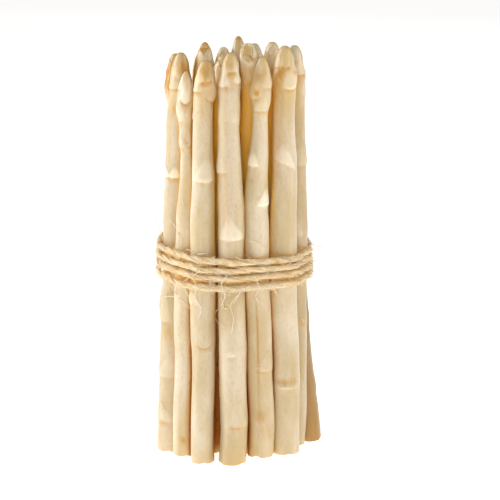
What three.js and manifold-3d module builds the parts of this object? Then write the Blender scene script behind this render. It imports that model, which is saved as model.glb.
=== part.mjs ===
// A bundle of white asparagus that stands on its cut ends, held at the waist by four turns of twine
// that are knotted at the back. Millimetres, +Z up, the front of the bundle faces -Y. The origin is
// on the table, under the middle of the bundle's box.
import * as THREE from 'three';
import { mergeVertices } from 'three/addons/utils/BufferGeometryUtils.js';
import Module from 'manifold-3d';

// ---- Driving dimensions ---------------------------------------------------------------------------

const WAIST = 101.6; // height of the middle of the tie
const GAP = 0.3; // clearance between any two pieces

// A spear is thickest at its foot and tapers into its head. The shares are of its diameter.
const FOOT_SHARE = 1.06;
const NECK_SHARE = 0.8; // at the bottom of the head
const HEAD_LENGTH = 25; // from the tip down to the neck
const HEAD_POWER = 0.34; // how blunt the tip is: a lower power is blunter
const BULB_AT = 14; // a swollen head is widest this far below its tip
const TAPER_LENGTH = 85; // from the tip down to where the stem has its full diameter

// Scale leaves climb the stem 5/13 of a turn apart, so a spear has 13 columns of faces. `bases` says how
// far below the tip each scale starts. A stem's bases are in the table of spears.
const COLUMNS = 13;
const TURN = 5;
const HEAD_SCALES = { bases: [6, 10.5, 16, 23, 32], length: 15, halfWidth: 3, proud: 0.8 };
const STEM_SCALES = { bases: [44, 70, 100, 140], length: 16, halfWidth: 1.5, proud: 0.9 };
const LEDGE = 0.4; // height of the step under a scale's base
const TIP_RING = 1.5; // the uppermost ring, which rounds the tip off

// The tie.
const TWINE = 3.1; // diameter
const PITCH = 4.1; // from one turn to the next one down, in front
const TURNS = 4;
const TIE_SAG = 1.2; // how much lower the tie lies in front than at the sides
const LOOSE_LEFT = 0.3; // how much further apart the turns are on the left side
const TAIL = 16; // length of each free end past the knot
const PRESSED = 13; // the tie presses the scales flat this far above and below its middle

// One entry per spear. `at` is where its middle stands at the waist, `across` its diameter there, `tip`
// the height of its tip, `crown` how far its top leans, `foot` how far its cut end is set out from the
// waist, and `lift` how high that end is off the table. `stem` holds the bases of its stem scales, and
// `faces` is the way the second one of them points: 0 is the front and 90 the right-hand side.
const SPEARS = [
  // The front row, from left to right.
  {
    at: [-31, -11.5], across: 12.6, tip: 208, crown: [3.4, 0], foot: [-2, -3],
    stem: [38, 67, 100, 134, 168], faces: -40,
  },
  {
    at: [-26.8, -20.8], across: 10, tip: 200, crown: [2.6, 0], foot: [-0.8, -1], lift: 0.8,
    stem: [38, 61, 92, 128, 160], faces: 60,
  },
  {
    at: [-17, -28], across: 13.6, tip: 207, crown: [3.0, 1], foot: [0, -2],
    stem: [34, 65, 95, 124, 152], faces: -18,
  },
  {
    at: [-4, -31], across: 13.4, tip: 211, crown: [0.6, 2], foot: [2, -2],
    stem: [34, 60, 80, 103, 162], faces: -70, spiral: -1,
  },
  {
    at: [10.1, -29], across: 13.2, tip: 208.6, crown: [3.4, 1], foot: [1.6, 1], lift: 2.2,
    stem: [30, 58, 80, 118, 160], faces: -32, neck: 0.7, bulb: 0.12,
  },
  {
    at: [23.8, -21.5], across: 13.8, tip: 213, crown: [0, 1], foot: [1.4, 3], lift: 1.8,
    stem: [40, 68, 105, 143, 181], faces: -15,
  },
  {
    at: [31.4, -8.5], across: 12.6, tip: 211, crown: [-2.6, 0], foot: [-0.4, 1], lift: 0.8,
    stem: [38, 65, 95, 124, 150], faces: 62, spiral: -1,
  },
  {
    at: [29.8, 4.5], across: 12.6, tip: 203, crown: [-2, -1], foot: [6, -4],
    stem: [42, 72, 108, 140, 176], faces: 80,
  },
  // The second row.
  { at: [-18, -10.5], across: 12.6, tip: 213, crown: [2.2, 0], neck: 0.88, faces: 20 },
  { at: [-8.5, -17.5], across: 11, tip: 207.6, crown: [2.4, 0], lift: 0.6, faces: 150 },
  { at: [4.5, -17.5], across: 9.8, tip: 213, crown: [2.6, 1], faces: 30, snapped: 11 },
  { at: [17, -11.5], across: 12.4, tip: 213.2, crown: [0.5, 0], faces: -120 },
  // The middle.
  { at: [-9, -4.5], across: 11.2, tip: 209.8, crown: [3.2, -1], faces: 70 },
  { at: [3.2, -4.5], across: 12.2, tip: 215, crown: [-2.6, 1], lift: 0.8, neck: 0.7, faces: -50 },
  { at: [14.8, 1.2], across: 12.2, tip: 210.4, crown: [-5, 0], faces: 10 },
  { at: [-15.5, 8], across: 12.4, tip: 203, crown: [0.5, 0], faces: 200 },
  { at: [-1.5, 12.5], across: 12.6, tip: 202, crown: [2.2, 0], lift: 0.5, faces: 120 },
  { at: [12, 14], across: 12.2, tip: 200, crown: [-3, 0], faces: -80 },
  // The back row, from right to left.
  {
    at: [27, 17], across: 13, tip: 201, crown: [-1.2, -1], foot: [3, 1],
    stem: [36, 62, 96, 131, 170], faces: 120,
  },
  {
    at: [18, 26.5], across: 13.4, tip: 199, crown: [-0.8, -2], foot: [1, 2],
    stem: [40, 66, 90, 133, 165], faces: 170,
  },
  {
    at: [5.5, 31], across: 12.8, tip: 203, crown: [-0.6, -2], foot: [0, 3], lift: 0.7,
    stem: [43, 71, 104, 148, 172], faces: 155,
  },
  {
    at: [-8, 30.5], across: 13.6, tip: 198, crown: [1.4, -2], foot: [-1, 3],
    stem: [35, 60, 82, 129, 168], faces: 205, spiral: -1,
  },
  {
    at: [-20.5, 24], across: 12.6, tip: 202, crown: [3, -2], foot: [-1, 2],
    stem: [41, 73, 99, 140, 175], faces: 230,
  },
  {
    at: [-29.5, 14], across: 12.4, tip: 200, crown: [1, -1], foot: [-2, 1],
    stem: [37, 64, 94, 126, 163], faces: 265,
  },
  {
    at: [-33, 2.5], across: 11.2, tip: 205, crown: [1.6, 0], foot: [-2, 0],
    stem: [42, 70, 107, 145, 178], faces: -75,
  },
];

// ---- Small helpers --------------------------------------------------------------------------------

const { lerp, clamp, smoothstep, degToRad } = THREE.MathUtils;
const FULL_TURN = 2 * Math.PI;
const FRONT = -90; // the direction of the front, in degrees from +X towards +Y
const GOLDEN_ANGLE = 137.5;

// Distance round a spear between two columns, in columns.
function columnsBetween(a, b) {
  const d = Math.abs(a - b) % COLUMNS;
  return Math.min(d, COLUMNS - d);
}

function unit(angle) {
  return new THREE.Vector2(Math.cos(angle), Math.sin(angle));
}

// ---- The shape of one spear -----------------------------------------------------------------------

// Bare radius of a spear at a distance below its tip.
function stemRadius(spear, below) {
  if (below <= 0 && !spear.snapped) return 0;
  const full = spear.across / 2;
  const neck = full * spear.neck;
  if (below < HEAD_LENGTH) {
    const ogive = spear.snapped ? 1 : Math.sin((Math.PI / 2) * (below / HEAD_LENGTH)) ** HEAD_POWER;
    return neck * ogive + full * spear.bulb * Math.exp(-(((below - BULB_AT) / (BULB_AT / 2)) ** 2));
  }
  if (below < TAPER_LENGTH) return lerp(neck, full, smoothstep(below, HEAD_LENGTH, TAPER_LENGTH));
  return full * lerp(1, FOOT_SHARE, (below - TAPER_LENGTH) / (spear.tip - TAPER_LENGTH));
}

// The scale leaves of a spear, from the tip down, each with its base, column and size.
function scalesOf(spear) {
  const rows = [
    ...HEAD_SCALES.bases.map((base) => ({ ...HEAD_SCALES, base, onStem: false })),
    ...spear.stem.map((base) => ({ ...STEM_SCALES, base, onStem: true })),
  ];
  rows.forEach((scale, k) => {
    scale.column = (((k * TURN * spear.spiral) % COLUMNS) + COLUMNS) % COLUMNS;
  });
  return rows;
}

// How far the scales stand out of the bare stem, at a column and a distance below the tip. A scale is
// proud at its base and runs out to nothing at its point. Under the tie it is pressed flat.
function relief(spear, column, below) {
  let out = 0;
  for (const scale of spear.scales) {
    const along = (scale.base - below) / scale.length;
    if (along < 0 || along > 1) continue;
    const half = scale.halfWidth * (1 - along) ** 0.7;
    const off = columnsBetween(column, scale.column);
    if (off <= half + 0.01) out = Math.max(out, scale.proud * (1 - 0.9 * along) * (1 - 0.06 * off * off));
  }
  return out * smoothstep(Math.abs(spear.tip - below - WAIST), PRESSED, PRESSED + 5);
}

// ---- How the spears pack together -----------------------------------------------------------------

const LEVEL_STEP = 26; // the spears are settled on levels this far apart
const LEVELS = 9;
const ROUNDS = 400;
const LAST_ROUNDS = 60; // which only push apart
const WOBBLE = 0.8; // how far a stem strays from straight
const WAVE = 34; // height over which it strays, per radian

const PLAIN = {
  stem: STEM_SCALES.bases, crown: [0, 0], foot: [0, 0], lift: 0, neck: NECK_SHARE, bulb: 0.03, spiral: 1,
}; // what an entry has where it says nothing else

SPEARS.forEach((spear, index) => {
  Object.assign(spear, { ...PLAIN, ...spear });
  spear.scales = scalesOf(spear);
  const second = spear.scales.filter((scale) => scale.onStem)[1];
  spear.turned = degToRad(FRONT + spear.faces) - (FULL_TURN * second.column) / COLUMNS;
  spear.wanted = Array.from({ length: LEVELS }, (_, level) => {
    const z = level * LEVEL_STEP;
    const down = clamp((WAIST - z) / WAIST, 0, 1);
    const up = clamp((z - WAIST) / (spear.tip - WAIST), 0, 1.1);
    const stray = unit(z / WAVE + degToRad(GOLDEN_ANGLE) * index).multiplyScalar(WOBBLE * (down + up));
    return new THREE.Vector2(...spear.at)
      .addScaledVector(new THREE.Vector2(...spear.foot), down ** 1.8)
      .addScaledVector(new THREE.Vector2(...spear.crown), up ** 1.4)
      .add(stray);
  });
  spear.middles = spear.wanted.map((p) => p.clone());
});

// Pushes apart every two spears that touch on a level.
function pushApart(level) {
  const z = level * LEVEL_STEP;
  for (let i = 0; i < SPEARS.length; i++) {
    for (let j = i + 1; j < SPEARS.length; j++) {
      const a = SPEARS[i].middles[level];
      const b = SPEARS[j].middles[level];
      const room = stemRadius(SPEARS[i], SPEARS[i].tip - z) + stemRadius(SPEARS[j], SPEARS[j].tip - z) + GAP;
      const between = b.clone().sub(a);
      const lacking = room - between.length();
      if (lacking <= 0) continue;
      between.setLength(lacking / 2);
      a.sub(between);
      b.add(between);
    }
  }
}

// Straightens each stem a little, draws it back to its place, and gathers the waist.
function easeBack() {
  for (const spear of SPEARS) {
    const before = spear.middles.map((p) => p.clone());
    spear.middles.forEach((p, level) => {
      p.lerp(spear.wanted[level], 0.04);
      if (level > 0 && level < LEVELS - 1) {
        p.lerp(before[level - 1].clone().add(before[level + 1]).multiplyScalar(0.5), 0.12);
      }
      const fromTie = Math.abs(level * LEVEL_STEP - WAIST);
      p.multiplyScalar(1 - 0.004 * (1 - smoothstep(fromTie, 0, 60)));
    });
  }
}

for (let round = 0; round < ROUNDS; round++) {
  if (round < ROUNDS - LAST_ROUNDS) easeBack();
  for (let level = 0; level < LEVELS; level++) pushApart(level);
}

// Middle of a spear at any height, on a smooth curve through its levels.
function middleAt(spear, z) {
  const t = clamp(z / LEVEL_STEP, 0, LEVELS - 1.001);
  const k = Math.floor(t);
  const [p0, p1, p2, p3] = [k - 1, k, k + 1, k + 2].map((i) => spear.middles[clamp(i, 0, LEVELS - 1)]);
  return new THREE.SplineCurve([p0, p1, p2, p3]).getPoint((1 + t - k) / 3);
}

// The furthest that a point of a spear may go in one direction before it meets a neighbour's room.
function roomTowards(spear, z, middle, direction) {
  let room = Infinity;
  const own = stemRadius(spear, spear.tip - z);
  for (const other of SPEARS) {
    const radius = stemRadius(other, other.tip - z);
    if (other === spear || radius === 0) continue;
    const between = middleAt(other, z).sub(middle);
    const apart = between.length();
    const facing = between.dot(direction) / apart;
    if (facing < 0.2) continue;
    const border = (apart * apart + own * own - radius * radius) / (2 * apart) - GAP / 2;
    room = Math.min(room, border / facing);
  }
  return room;
}

// ---- Spear solids ---------------------------------------------------------------------------------

const POLYGON = 1.012; // a polygon's corners stand this much outside the circle of the same area
const SNAP = { stub: 17, inner: 0.55, dome: [0.7, 1] }; // a snapped head: its last level ring, and its face

// The rings of a spear, from the foot up. `share` scales a ring's radius, `slope` tilts it down towards
// the front, and `raised` lifts it.
function ringsOf(spear) {
  const below = [spear.tip - spear.lift];
  for (const scale of spear.scales) {
    below.push(scale.base);
    if (scale.base > 20) below.push(scale.base + LEDGE);
    if (scale.onStem) below.push(scale.base - scale.length);
  }
  if (!spear.snapped) below.push(TIP_RING);
  const level = below.sort((a, b) => b - a).map((d) => ({ below: d, share: 1, slope: 0, raised: 0 }));
  if (!spear.snapped) return level;
  return [
    ...level.filter((ring) => ring.below > SNAP.stub),
    { below: 0, share: 1, slope: spear.snapped, raised: 0 },
    { below: 0, share: SNAP.inner, slope: spear.snapped, raised: SNAP.dome[0] },
  ];
}

// Height of a point of a ring, in the direction given.
function heightOf(spear, ring, direction) {
  return spear.tip - ring.below - (ring.slope / 2) * (1 - ring.share * direction.y) + ring.raised;
}

// A spear turned on a lathe from its ring numbers, then each of its points moved to its real place.
function spearGeometry(spear) {
  const rings = ringsOf(spear);
  const sides = rings.map((_, k) => new THREE.Vector2(1, k));
  const profile = [new THREE.Vector2(0, 0), ...sides, new THREE.Vector2(0, rings.length)];
  const lathe = new THREE.LatheGeometry(profile, COLUMNS);
  lathe.deleteAttribute('normal');
  lathe.deleteAttribute('uv');
  const geometry = mergeVertices(lathe);
  const position = geometry.getAttribute('position');
  for (let i = 0; i < position.count; i++) {
    const k = Math.round(position.getY(i));
    const onAxis = Math.hypot(position.getX(i), position.getZ(i)) < 0.5;
    const angle = Math.atan2(position.getX(i), position.getZ(i));
    const point = onAxis ? axisPoint(spear, rings[0], k === 0) : sidePoint(spear, rings[k], angle);
    position.setXYZ(i, point.x, point.y, point.z);
  }
  return geometry;
}

function axisPoint(spear, foot, atFoot) {
  const top = spear.snapped ? spear.tip - spear.snapped / 2 + SNAP.dome[1] : spear.tip;
  const z = atFoot ? spear.tip - foot.below : top;
  const middle = middleAt(spear, z);
  return new THREE.Vector3(middle.x, middle.y, z);
}

function sidePoint(spear, ring, angle) {
  const column = Math.round((angle / FULL_TURN) * COLUMNS + COLUMNS) % COLUMNS;
  const direction = unit(angle + spear.turned);
  const z = heightOf(spear, ring, direction);
  const middle = middleAt(spear, z);
  const proud = ring.slope ? 0 : relief(spear, column, ring.below);
  const radius = stemRadius(spear, ring.below) * POLYGON + proud;
  const reach = Math.min(radius, roomTowards(spear, z, middle, direction)) * ring.share;
  return new THREE.Vector3(middle.x + direction.x * reach, middle.y + direction.y * reach, z);
}

// ---- The tie --------------------------------------------------------------------------------------

const TIE_SIDES = 7;
const WIDEST_BEND = degToRad(30); // between two sections of a turn
const KNOT_STEP = 4; // distance between two sections in the knot
const TIE_OFF = TWINE / 2 + GAP + 0.3; // from a stem to the middle of the twine
const FREE = 0.07; // the turns start and end this share of a turn from the back
const TRIALS = 720; // directions tried in one turn

// The point of a taut loop round all the stems that faces an angle, `out` away from the stems.
function taut(angle, z, out) {
  const direction = unit(angle);
  let best = null;
  for (const spear of SPEARS) {
    const middle = middleAt(spear, z);
    const radius = stemRadius(spear, spear.tip - z) + out;
    const reach = middle.dot(direction) + radius;
    if (best && reach <= best.reach) continue;
    best = { reach, spear, point: middle.addScaledVector(direction, radius) };
  }
  return best;
}

// Height of the tie after some number of turns, counted from the back and over the left side.
function tieHeight(turns) {
  const angle = FULL_TURN * turns;
  const front = (1 - Math.cos(angle)) / 2;
  const left = Math.max(0, Math.sin(angle));
  const spread = PITCH * (1 + LOOSE_LEFT * left);
  return WAIST + (TURNS / 2 - turns) * spread - TIE_SAG * front;
}

// The four turns, as one point for each section: where the twine meets a stem, where it leaves it, and
// between them where it bends far.
function turnsPath() {
  const runs = [];
  for (let k = Math.round(FREE * TRIALS); k <= (TURNS - FREE) * TRIALS; k++) {
    const z = tieHeight(k / TRIALS);
    const { spear, point } = taut(Math.PI / 2 + (FULL_TURN * k) / TRIALS, z, TIE_OFF);
    if (runs.at(-1)?.spear !== spear) runs.push({ spear, points: [] });
    runs.at(-1).points.push(new THREE.Vector3(point.x, point.y, z));
  }
  return runs.flatMap(({ points }) => {
    const bends = Math.ceil(((points.length / TRIALS) * FULL_TURN) / WIDEST_BEND);
    const last = points.length - 1;
    return last < TRIALS / 90
      ? [points[Math.round(last / 2)]]
      : Array.from({ length: bends + 1 }, (_, k) => points[Math.round((last * k) / bends)]);
  });
}

// A curve that an extrusion cuts at the points themselves, and not at even lengths.
class ThroughPoints extends THREE.CatmullRomCurve3 {
  getPointAt(share, target) {
    return this.getPoint(share, target);
  }

  getTangentAt(share, target) {
    return this.getTangent(share, target);
  }
}

// A tube along points, closed at both ends.
function tube(points) {
  const section = new THREE.Shape(
    Array.from({ length: TIE_SIDES }, (_, k) => unit((FULL_TURN * k) / TIE_SIDES).multiplyScalar(TWINE / 2)),
  );
  const extrudePath = new ThroughPoints(points, false, 'centripetal');
  return new THREE.ExtrudeGeometry(section, { extrudePath, steps: points.length - 1, curveSegments: 1 });
}

// The same, cut at even lengths along a smooth curve.
function smoothTube(points) {
  const curve = new THREE.CatmullRomCurve3(points, false, 'centripetal');
  return tube(curve.getSpacedPoints(Math.round(curve.getLength() / KNOT_STEP)));
}

// Half of the knot, in twine diameters: it comes in from a turn, loops round the other half and leaves
// as a free end. Each row is across, outwards and up. The other half is this one turned upside down.
const HALF_KNOT = [
  [-3.2, -0.3, 1.5],
  [-1.9, -0.5, 0.75],
  [-0.9, 0.1, 0.8],
  [0, 0.5, 1.0],
  [1.2, 0, 1.35],
  [2.0, -0.45, 0.85],
  [2.45, 0, 0],
  [2.0, 0.45, -0.85],
  [1.2, 0, -1.35],
  [0, -0.5, -1.0],
  [-0.9, 0, -0.8],
  [-1.9, 0.5, -0.8],
  [-3.0, 0.3, -1.5],
];

const wasm = await Module();
wasm.setup();

function solidOf(geometry) {
  geometry.deleteAttribute('normal');
  geometry.deleteAttribute('uv');
  const merged = mergeVertices(geometry);
  const vertProperties = merged.getAttribute('position').array;
  const triVerts = new Uint32Array(merged.index.array);
  return new wasm.Manifold(new wasm.Mesh({ numProp: 3, vertProperties, triVerts }));
}

function tieGeometry() {
  const turns = turnsPath();
  const back = taut(Math.PI / 2, WAIST, TIE_OFF).point;
  const knot = new THREE.Vector3(back.x, back.y + 2.1 * TWINE, WAIST);
  const half = (side, joint) => {
    const points = HALF_KNOT.map(([across, out, up]) =>
      new THREE.Vector3(side * across, out, side * up).multiplyScalar(TWINE).add(knot));
    const end = points.at(-1);
    const tail = new THREE.Vector3(-side * 0.75, -0.1, -side * 0.62).setLength(TAIL);
    return smoothTube([...joint, ...points, end.clone().addScaledVector(tail, 0.45), end.clone().add(tail)]);
  };
  const joined = solidOf(tube(turns))
    .add(solidOf(half(1, [turns[1], turns[0]])))
    .add(solidOf(half(-1, [turns.at(-2), turns.at(-1)])));
  // Where the strands of the knot meet they can close off a small hollow. Only the outer skin is kept.
  const [outer] = joined.decompose().sort((a, b) => b.volume() - a.volume());
  const mesh = outer.getMesh();
  return new THREE.BufferGeometry()
    .setAttribute('position', new THREE.BufferAttribute(mesh.vertProperties, 3))
    .setIndex(new THREE.BufferAttribute(mesh.triVerts, 1));
}

// ---- The bundle -----------------------------------------------------------------------------------

const ASPARAGUS = { color: '#ecdfc0', roughness: 0.5, metalness: 0 };
const JUTE = { color: '#d8bd87', roughness: 0.9, metalness: 0 };

const bundle = new THREE.Group();
SPEARS.forEach((spear, index) => {
  const mesh = new THREE.Mesh(spearGeometry(spear), new THREE.MeshStandardMaterial(ASPARAGUS));
  mesh.name = `spear_${String(index + 1).padStart(2, '0')}`;
  bundle.add(mesh);
});
const twine = new THREE.Mesh(tieGeometry(), new THREE.MeshStandardMaterial(JUTE));
twine.name = 'twine';
bundle.add(twine);

// Sets the origin under the middle of the bundle's box.
const middle = new THREE.Box3().setFromObject(bundle).getCenter(new THREE.Vector3());
bundle.position.set(-middle.x, -middle.y, 0);

export default bundle;
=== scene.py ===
# %% [markdown]
# # A bundle of white asparagus, tied with jute twine
# The solids of the bundle are finished already: 25 stems and the tie, each in its real place. This
# script dresses them. Every stem is measured from its solid and modelled again with a smooth skin, its
# scale leaves and a cut end, and the tie becomes a twisted twine with loose fibres. The first cell
# loads the solids.

# %% Load the solids
import math
from dataclasses import dataclass

import bpy
import numpy as np
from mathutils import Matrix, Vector
from mathutils.bvhtree import BVHTree


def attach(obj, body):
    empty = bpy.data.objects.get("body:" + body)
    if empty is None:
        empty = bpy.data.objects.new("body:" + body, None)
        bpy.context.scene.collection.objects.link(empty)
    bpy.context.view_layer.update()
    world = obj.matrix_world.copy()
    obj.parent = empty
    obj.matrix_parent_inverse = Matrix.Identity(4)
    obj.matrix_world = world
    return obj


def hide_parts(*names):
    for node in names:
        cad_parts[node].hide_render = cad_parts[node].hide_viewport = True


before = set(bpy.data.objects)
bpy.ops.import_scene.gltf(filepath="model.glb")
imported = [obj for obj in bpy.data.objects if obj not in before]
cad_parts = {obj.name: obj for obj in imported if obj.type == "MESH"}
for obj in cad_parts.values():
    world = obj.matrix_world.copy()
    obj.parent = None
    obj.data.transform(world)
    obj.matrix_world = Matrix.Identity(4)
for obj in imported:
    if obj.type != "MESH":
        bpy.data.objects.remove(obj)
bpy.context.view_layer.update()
MM = 0.001  # Blender works in metres, and the sizes in this script are in millimetres
print("loaded", len(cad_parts), "solids")

# %% [markdown]
# ## A few helpers
# An operator acts on whatever is selected, so each step first says what it wants selected. The other
# helpers read and write all the points of a mesh at once, which is how a modelled template is given
# the shape of one particular stem.


# %% Selecting
def only(*objects):
    """Selects just these objects, and makes the first one the active one."""
    if bpy.context.object and bpy.context.object.mode != "OBJECT":
        bpy.ops.object.mode_set(mode="OBJECT")
    bpy.ops.object.select_all(action="DESELECT")
    for obj in objects:
        obj.select_set(True)
    bpy.context.view_layer.objects.active = objects[0]


def edit(obj, kind, wanted):
    """Opens obj in edit mode and selects what `wanted` picks. `kind` is VERT, EDGE or FACE."""
    only(obj)
    bpy.ops.object.mode_set(mode="EDIT")
    bpy.ops.mesh.select_mode(type=kind)
    bpy.ops.mesh.select_all(action="DESELECT")
    bpy.ops.object.mode_set(mode="OBJECT")
    elements = {"VERT": obj.data.vertices, "EDGE": obj.data.edges, "FACE": obj.data.polygons}[kind]
    elements.foreach_set("select", [bool(wanted(e)) for e in elements])
    bpy.ops.object.mode_set(mode="EDIT")


# %% Reading and moving points
def points_of(obj):
    """The places of all its points, one row each."""
    flat = np.empty(len(obj.data.vertices) * 3)
    obj.data.vertices.foreach_get("co", flat)
    return flat.reshape(-1, 3)


def move_points(obj, points):
    obj.data.vertices.foreach_set("co", np.ravel(points))
    obj.data.update()


def copy_of(template, name):
    """A copy with a mesh of its own."""
    obj = bpy.data.objects.new(name, template.data.copy())
    bpy.context.scene.collection.objects.link(obj)
    return obj


def remove(*objects):
    for obj in objects:
        bpy.data.objects.remove(obj)


# %% Curves of a number
def smooth(x, low, high):
    """0 below low, 1 above high, and an even rise between them."""
    t = np.clip((x - low) / (high - low), 0, 1)
    return t * t * (3 - 2 * t)


def eased(x, places, values):
    """Runs from value to value, and is level at each of the places."""
    after = np.clip(np.searchsorted(places, x), 1, len(places) - 1)
    low, high = np.take(places, after - 1), np.take(places, after)
    first, last = np.take(values, after - 1), np.take(values, after)
    return first + (last - first) * smooth((x - low) / (high - low), 0, 1)


def hump(x, middle, width):
    """1 at the middle, and an even fall on both sides."""
    return np.exp(-(((x - middle) / width) ** 2))


def toward(angle):
    """The flat direction of an angle."""
    return np.stack([np.cos(angle), np.sin(angle)], -1)


def turned(angle):
    """The same angle, between minus and plus half a turn."""
    return (angle + math.pi) % math.tau - math.pi


# %% [markdown]
# ## Measuring the stems
# A solid stem is a pile of rings with thirteen corners each, at equal angles round the middle of the
# stem. All the corners of a ring point away from its middle, wherever a scale leaf pushes one out, so
# the middle is found as the point where those thirteen directions meet. The distances of the corners
# from it give the bare thickness of the stem, and a corner that stands far out is the middle of the
# foot of a scale leaf. Measured like this, the dressed stems can't drift away from the solids.

# %% What is measured
CORNERS = 13  # of a ring
CORNER_OUT = 1.012  # a ring's corners stand this much outside the stem's round surface
HEAD = 25.0  # length of the closed head at the top of a stem
HEAD_BLUNT = 0.34  # how blunt its tip is; a larger number is sharper
BARE_SHARE = 35  # this share of a ring's corners, in percent, stands no further out than its bare skin
RINGS_APART = 0.05  # corners whose heights differ by less than this are in the same ring
LEAF_STANDS = 0.5  # a corner this far outside the bare skin is on a scale leaf
LEDGE_MOST = 0.6  # a scale leaf starts where two rings are this close together
EASED_OVER = 15  # length over which a measured line is evened out
WAIST = 101.6  # height of the middle of the tie


def head_shape(below, blunt=HEAD_BLUNT):
    """How much of its full radius a stem has at a distance below its tip."""
    return np.sin(math.pi / 2 * np.clip(below / HEAD, 0, 1)) ** blunt


# %% Rings of a solid
def rings_of(node):
    """The rings of a stem's solid from the foot up, as (height, flat corners), and its top point."""
    corners = np.unique(np.round(points_of(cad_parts[node]) / MM, 3), axis=0)
    corners = corners[np.argsort(corners[:, 2])]
    rings = []
    for group in np.split(corners, np.flatnonzero(np.diff(corners[:, 2]) > RINGS_APART) + 1):
        flat = group[:, :2]
        if len(flat) == CORNERS + 1:  # the foot has a point in its middle too
            flat = np.delete(flat, np.argmin(np.hypot(*(flat - flat.mean(0)).T)), 0)
        if len(flat) == CORNERS:
            rings.append((group[0, 2], flat))
    return rings, corners[-1]


def ring_middle(flat):
    """The middle of a ring whose corners stand at equal angles round it."""
    middle = flat.mean(0)
    for _ in range(6):  # each round starts from a better middle
        angles = np.arctan2(*(flat - middle).T[::-1])
        turn = np.angle(np.exp(1j * CORNERS * angles).sum()) / CORNERS
        columns = np.round((angles - turn) * CORNERS / math.tau)
        across = toward(turn + columns * math.tau / CORNERS + math.pi / 2)
        middle = np.linalg.lstsq(across, (across * flat).sum(1), rcond=None)[0]
    return middle


# %% [markdown]
# The solids are a little plainer than real stems. The stems in front have their own small bends, a
# swollen head or a thin neck, and some tips are sharper. These are listed at a few places down the
# stem, and run evenly from one place to the next.

# %% One measured stem
POINTED = {2: 0.46, 4: 0.38, 5: 0.42, 9: 0.5, 14: 0.42}  # used in place of HEAD_BLUNT
OWN_SHAPE = {  # (distance below the tip, shift to the right, change of the radius)
    1: [(14, 0, 0), (33, -0.9, 0.4), (60, -0.3, 0.1), (118, 0, 0), (128, -0.9, 0.3), (207, -0.9, 0.1)],
    2: [(4, 0, 0), (11, 0, 0.3), (18, 0, 0.2), (28, 0.4, -1.1), (48, 0.5, -0.9), (75, 0.2, -0.3),
        (110, 0, 0)],
    3: [(5, -0.2, 0), (25, -1.1, -0.9), (45, -0.9, -0.7), (90, -0.7, -0.5), (120, -0.2, -0.4),
        (165, -0.2, -1.1), (207, -0.2, -1.1)],
    4: [(4, 0, 0), (12, -0.3, -0.3), (30, -0.2, -0.3), (80, 0, 0), (100, -0.3, -0.2), (140, 1.0, 0),
        (190, 0.7, 0), (211, 0.4, 0)],
    5: [(4, 0, 0), (13, 0, 0.3), (27, 0.3, -0.9), (34, 0.2, -0.9), (60, -0.8, -0.4), (105, -1.0, -0.2),
        (140, 0.8, -0.5), (208, 0.8, -0.3)],
    6: [(5, 0, 0), (16, 0, 0.3), (24, 0, -0.2), (80, 0, 0), (103, -0.8, 0.4), (140, 0, 0)],
    25: [(14, 0, 0), (30, 1.3, 0), (70, 0.7, 0), (110, 0, 0)],
}


class Spear:
    """The measures of one stem: its line, its bare radius and the places of its scale leaves."""

    def __init__(self, node):
        rings, top = rings_of(node)
        heights = np.array([z for z, _ in rings])
        middles = np.array([ring_middle(flat) for _, flat in rings])
        arms = np.array([flat for _, flat in rings]) - middles[:, None]
        out = np.hypot(arms[..., 0], arms[..., 1]) / CORNER_OUT
        bare = np.percentile(out, BARE_SHARE, axis=1)
        self.name = node
        self.number = int(node[-2:])
        self.blunt = POINTED.get(self.number, HEAD_BLUNT)
        self.own = np.array(OWN_SHAPE.get(self.number, [(0, 0, 0), (1, 0, 0)])).T
        self.tip = top[2]
        self.foot = heights[0]
        self.length = self.tip - self.foot
        self.snapped = self.tip - heights[-1] > HEAD / 2
        self.levels = np.arange(0, self.tip + 2)
        radii = bare if self.snapped else bare / head_shape(self.tip - heights)
        self.radii = self.evened(heights, radii)
        self.middles = np.stack([self.evened(heights, line) for line in middles.T], -1)
        self.leaves = []
        for k in range(len(rings) - 1, 0, -1):
            far = np.argmax(out[k])
            on_leaf = out[k, far] - bare[k] > LEAF_STANDS
            on_ledge = heights[k] - heights[k - 1] < LEDGE_MOST
            if on_leaf and on_ledge and heights[k] < self.tip - 1.3 * HEAD:
                self.leaves.append((self.tip - heights[k], math.atan2(*arms[k, far][::-1])))
        self.climb = np.sign(turned(self.leaves[1][1] - self.leaves[0][1]))

    def evened(self, heights, values):
        """A measured line read at every level, without kinks."""
        line = np.interp(self.levels, heights, values)
        ends = EASED_OVER // 2
        line = np.pad(line, ends, mode="reflect", reflect_type="odd")
        return np.convolve(line, np.ones(EASED_OVER) / EASED_OVER, mode="valid")

    def middle(self, z, own=1):
        """Middle of the stem at a height, as the solid has it when own is 0."""
        x, y = (np.interp(z, self.levels, line) for line in self.middles.T)
        return np.stack([x + own * eased(self.tip - z, self.own[0], self.own[1]), y], -1)

    def radius(self, below, own=1):
        """Bare radius at a distance below the tip."""
        full = np.interp(self.tip - below, self.levels, self.radii)
        full = full + own * eased(below, self.own[0], self.own[2])
        return full if self.snapped else full * head_shape(below, self.blunt)


SPEARS = [Spear(name) for name in sorted(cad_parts) if name.startswith("spear")]
for spear in SPEARS[:3]:
    found = [f"{below:.0f} mm down at {math.degrees(a):.0f} deg" for below, a in spear.leaves]
    print(spear.name, f"{spear.length:.1f} mm long, leaves", ", ".join(found))
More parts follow.
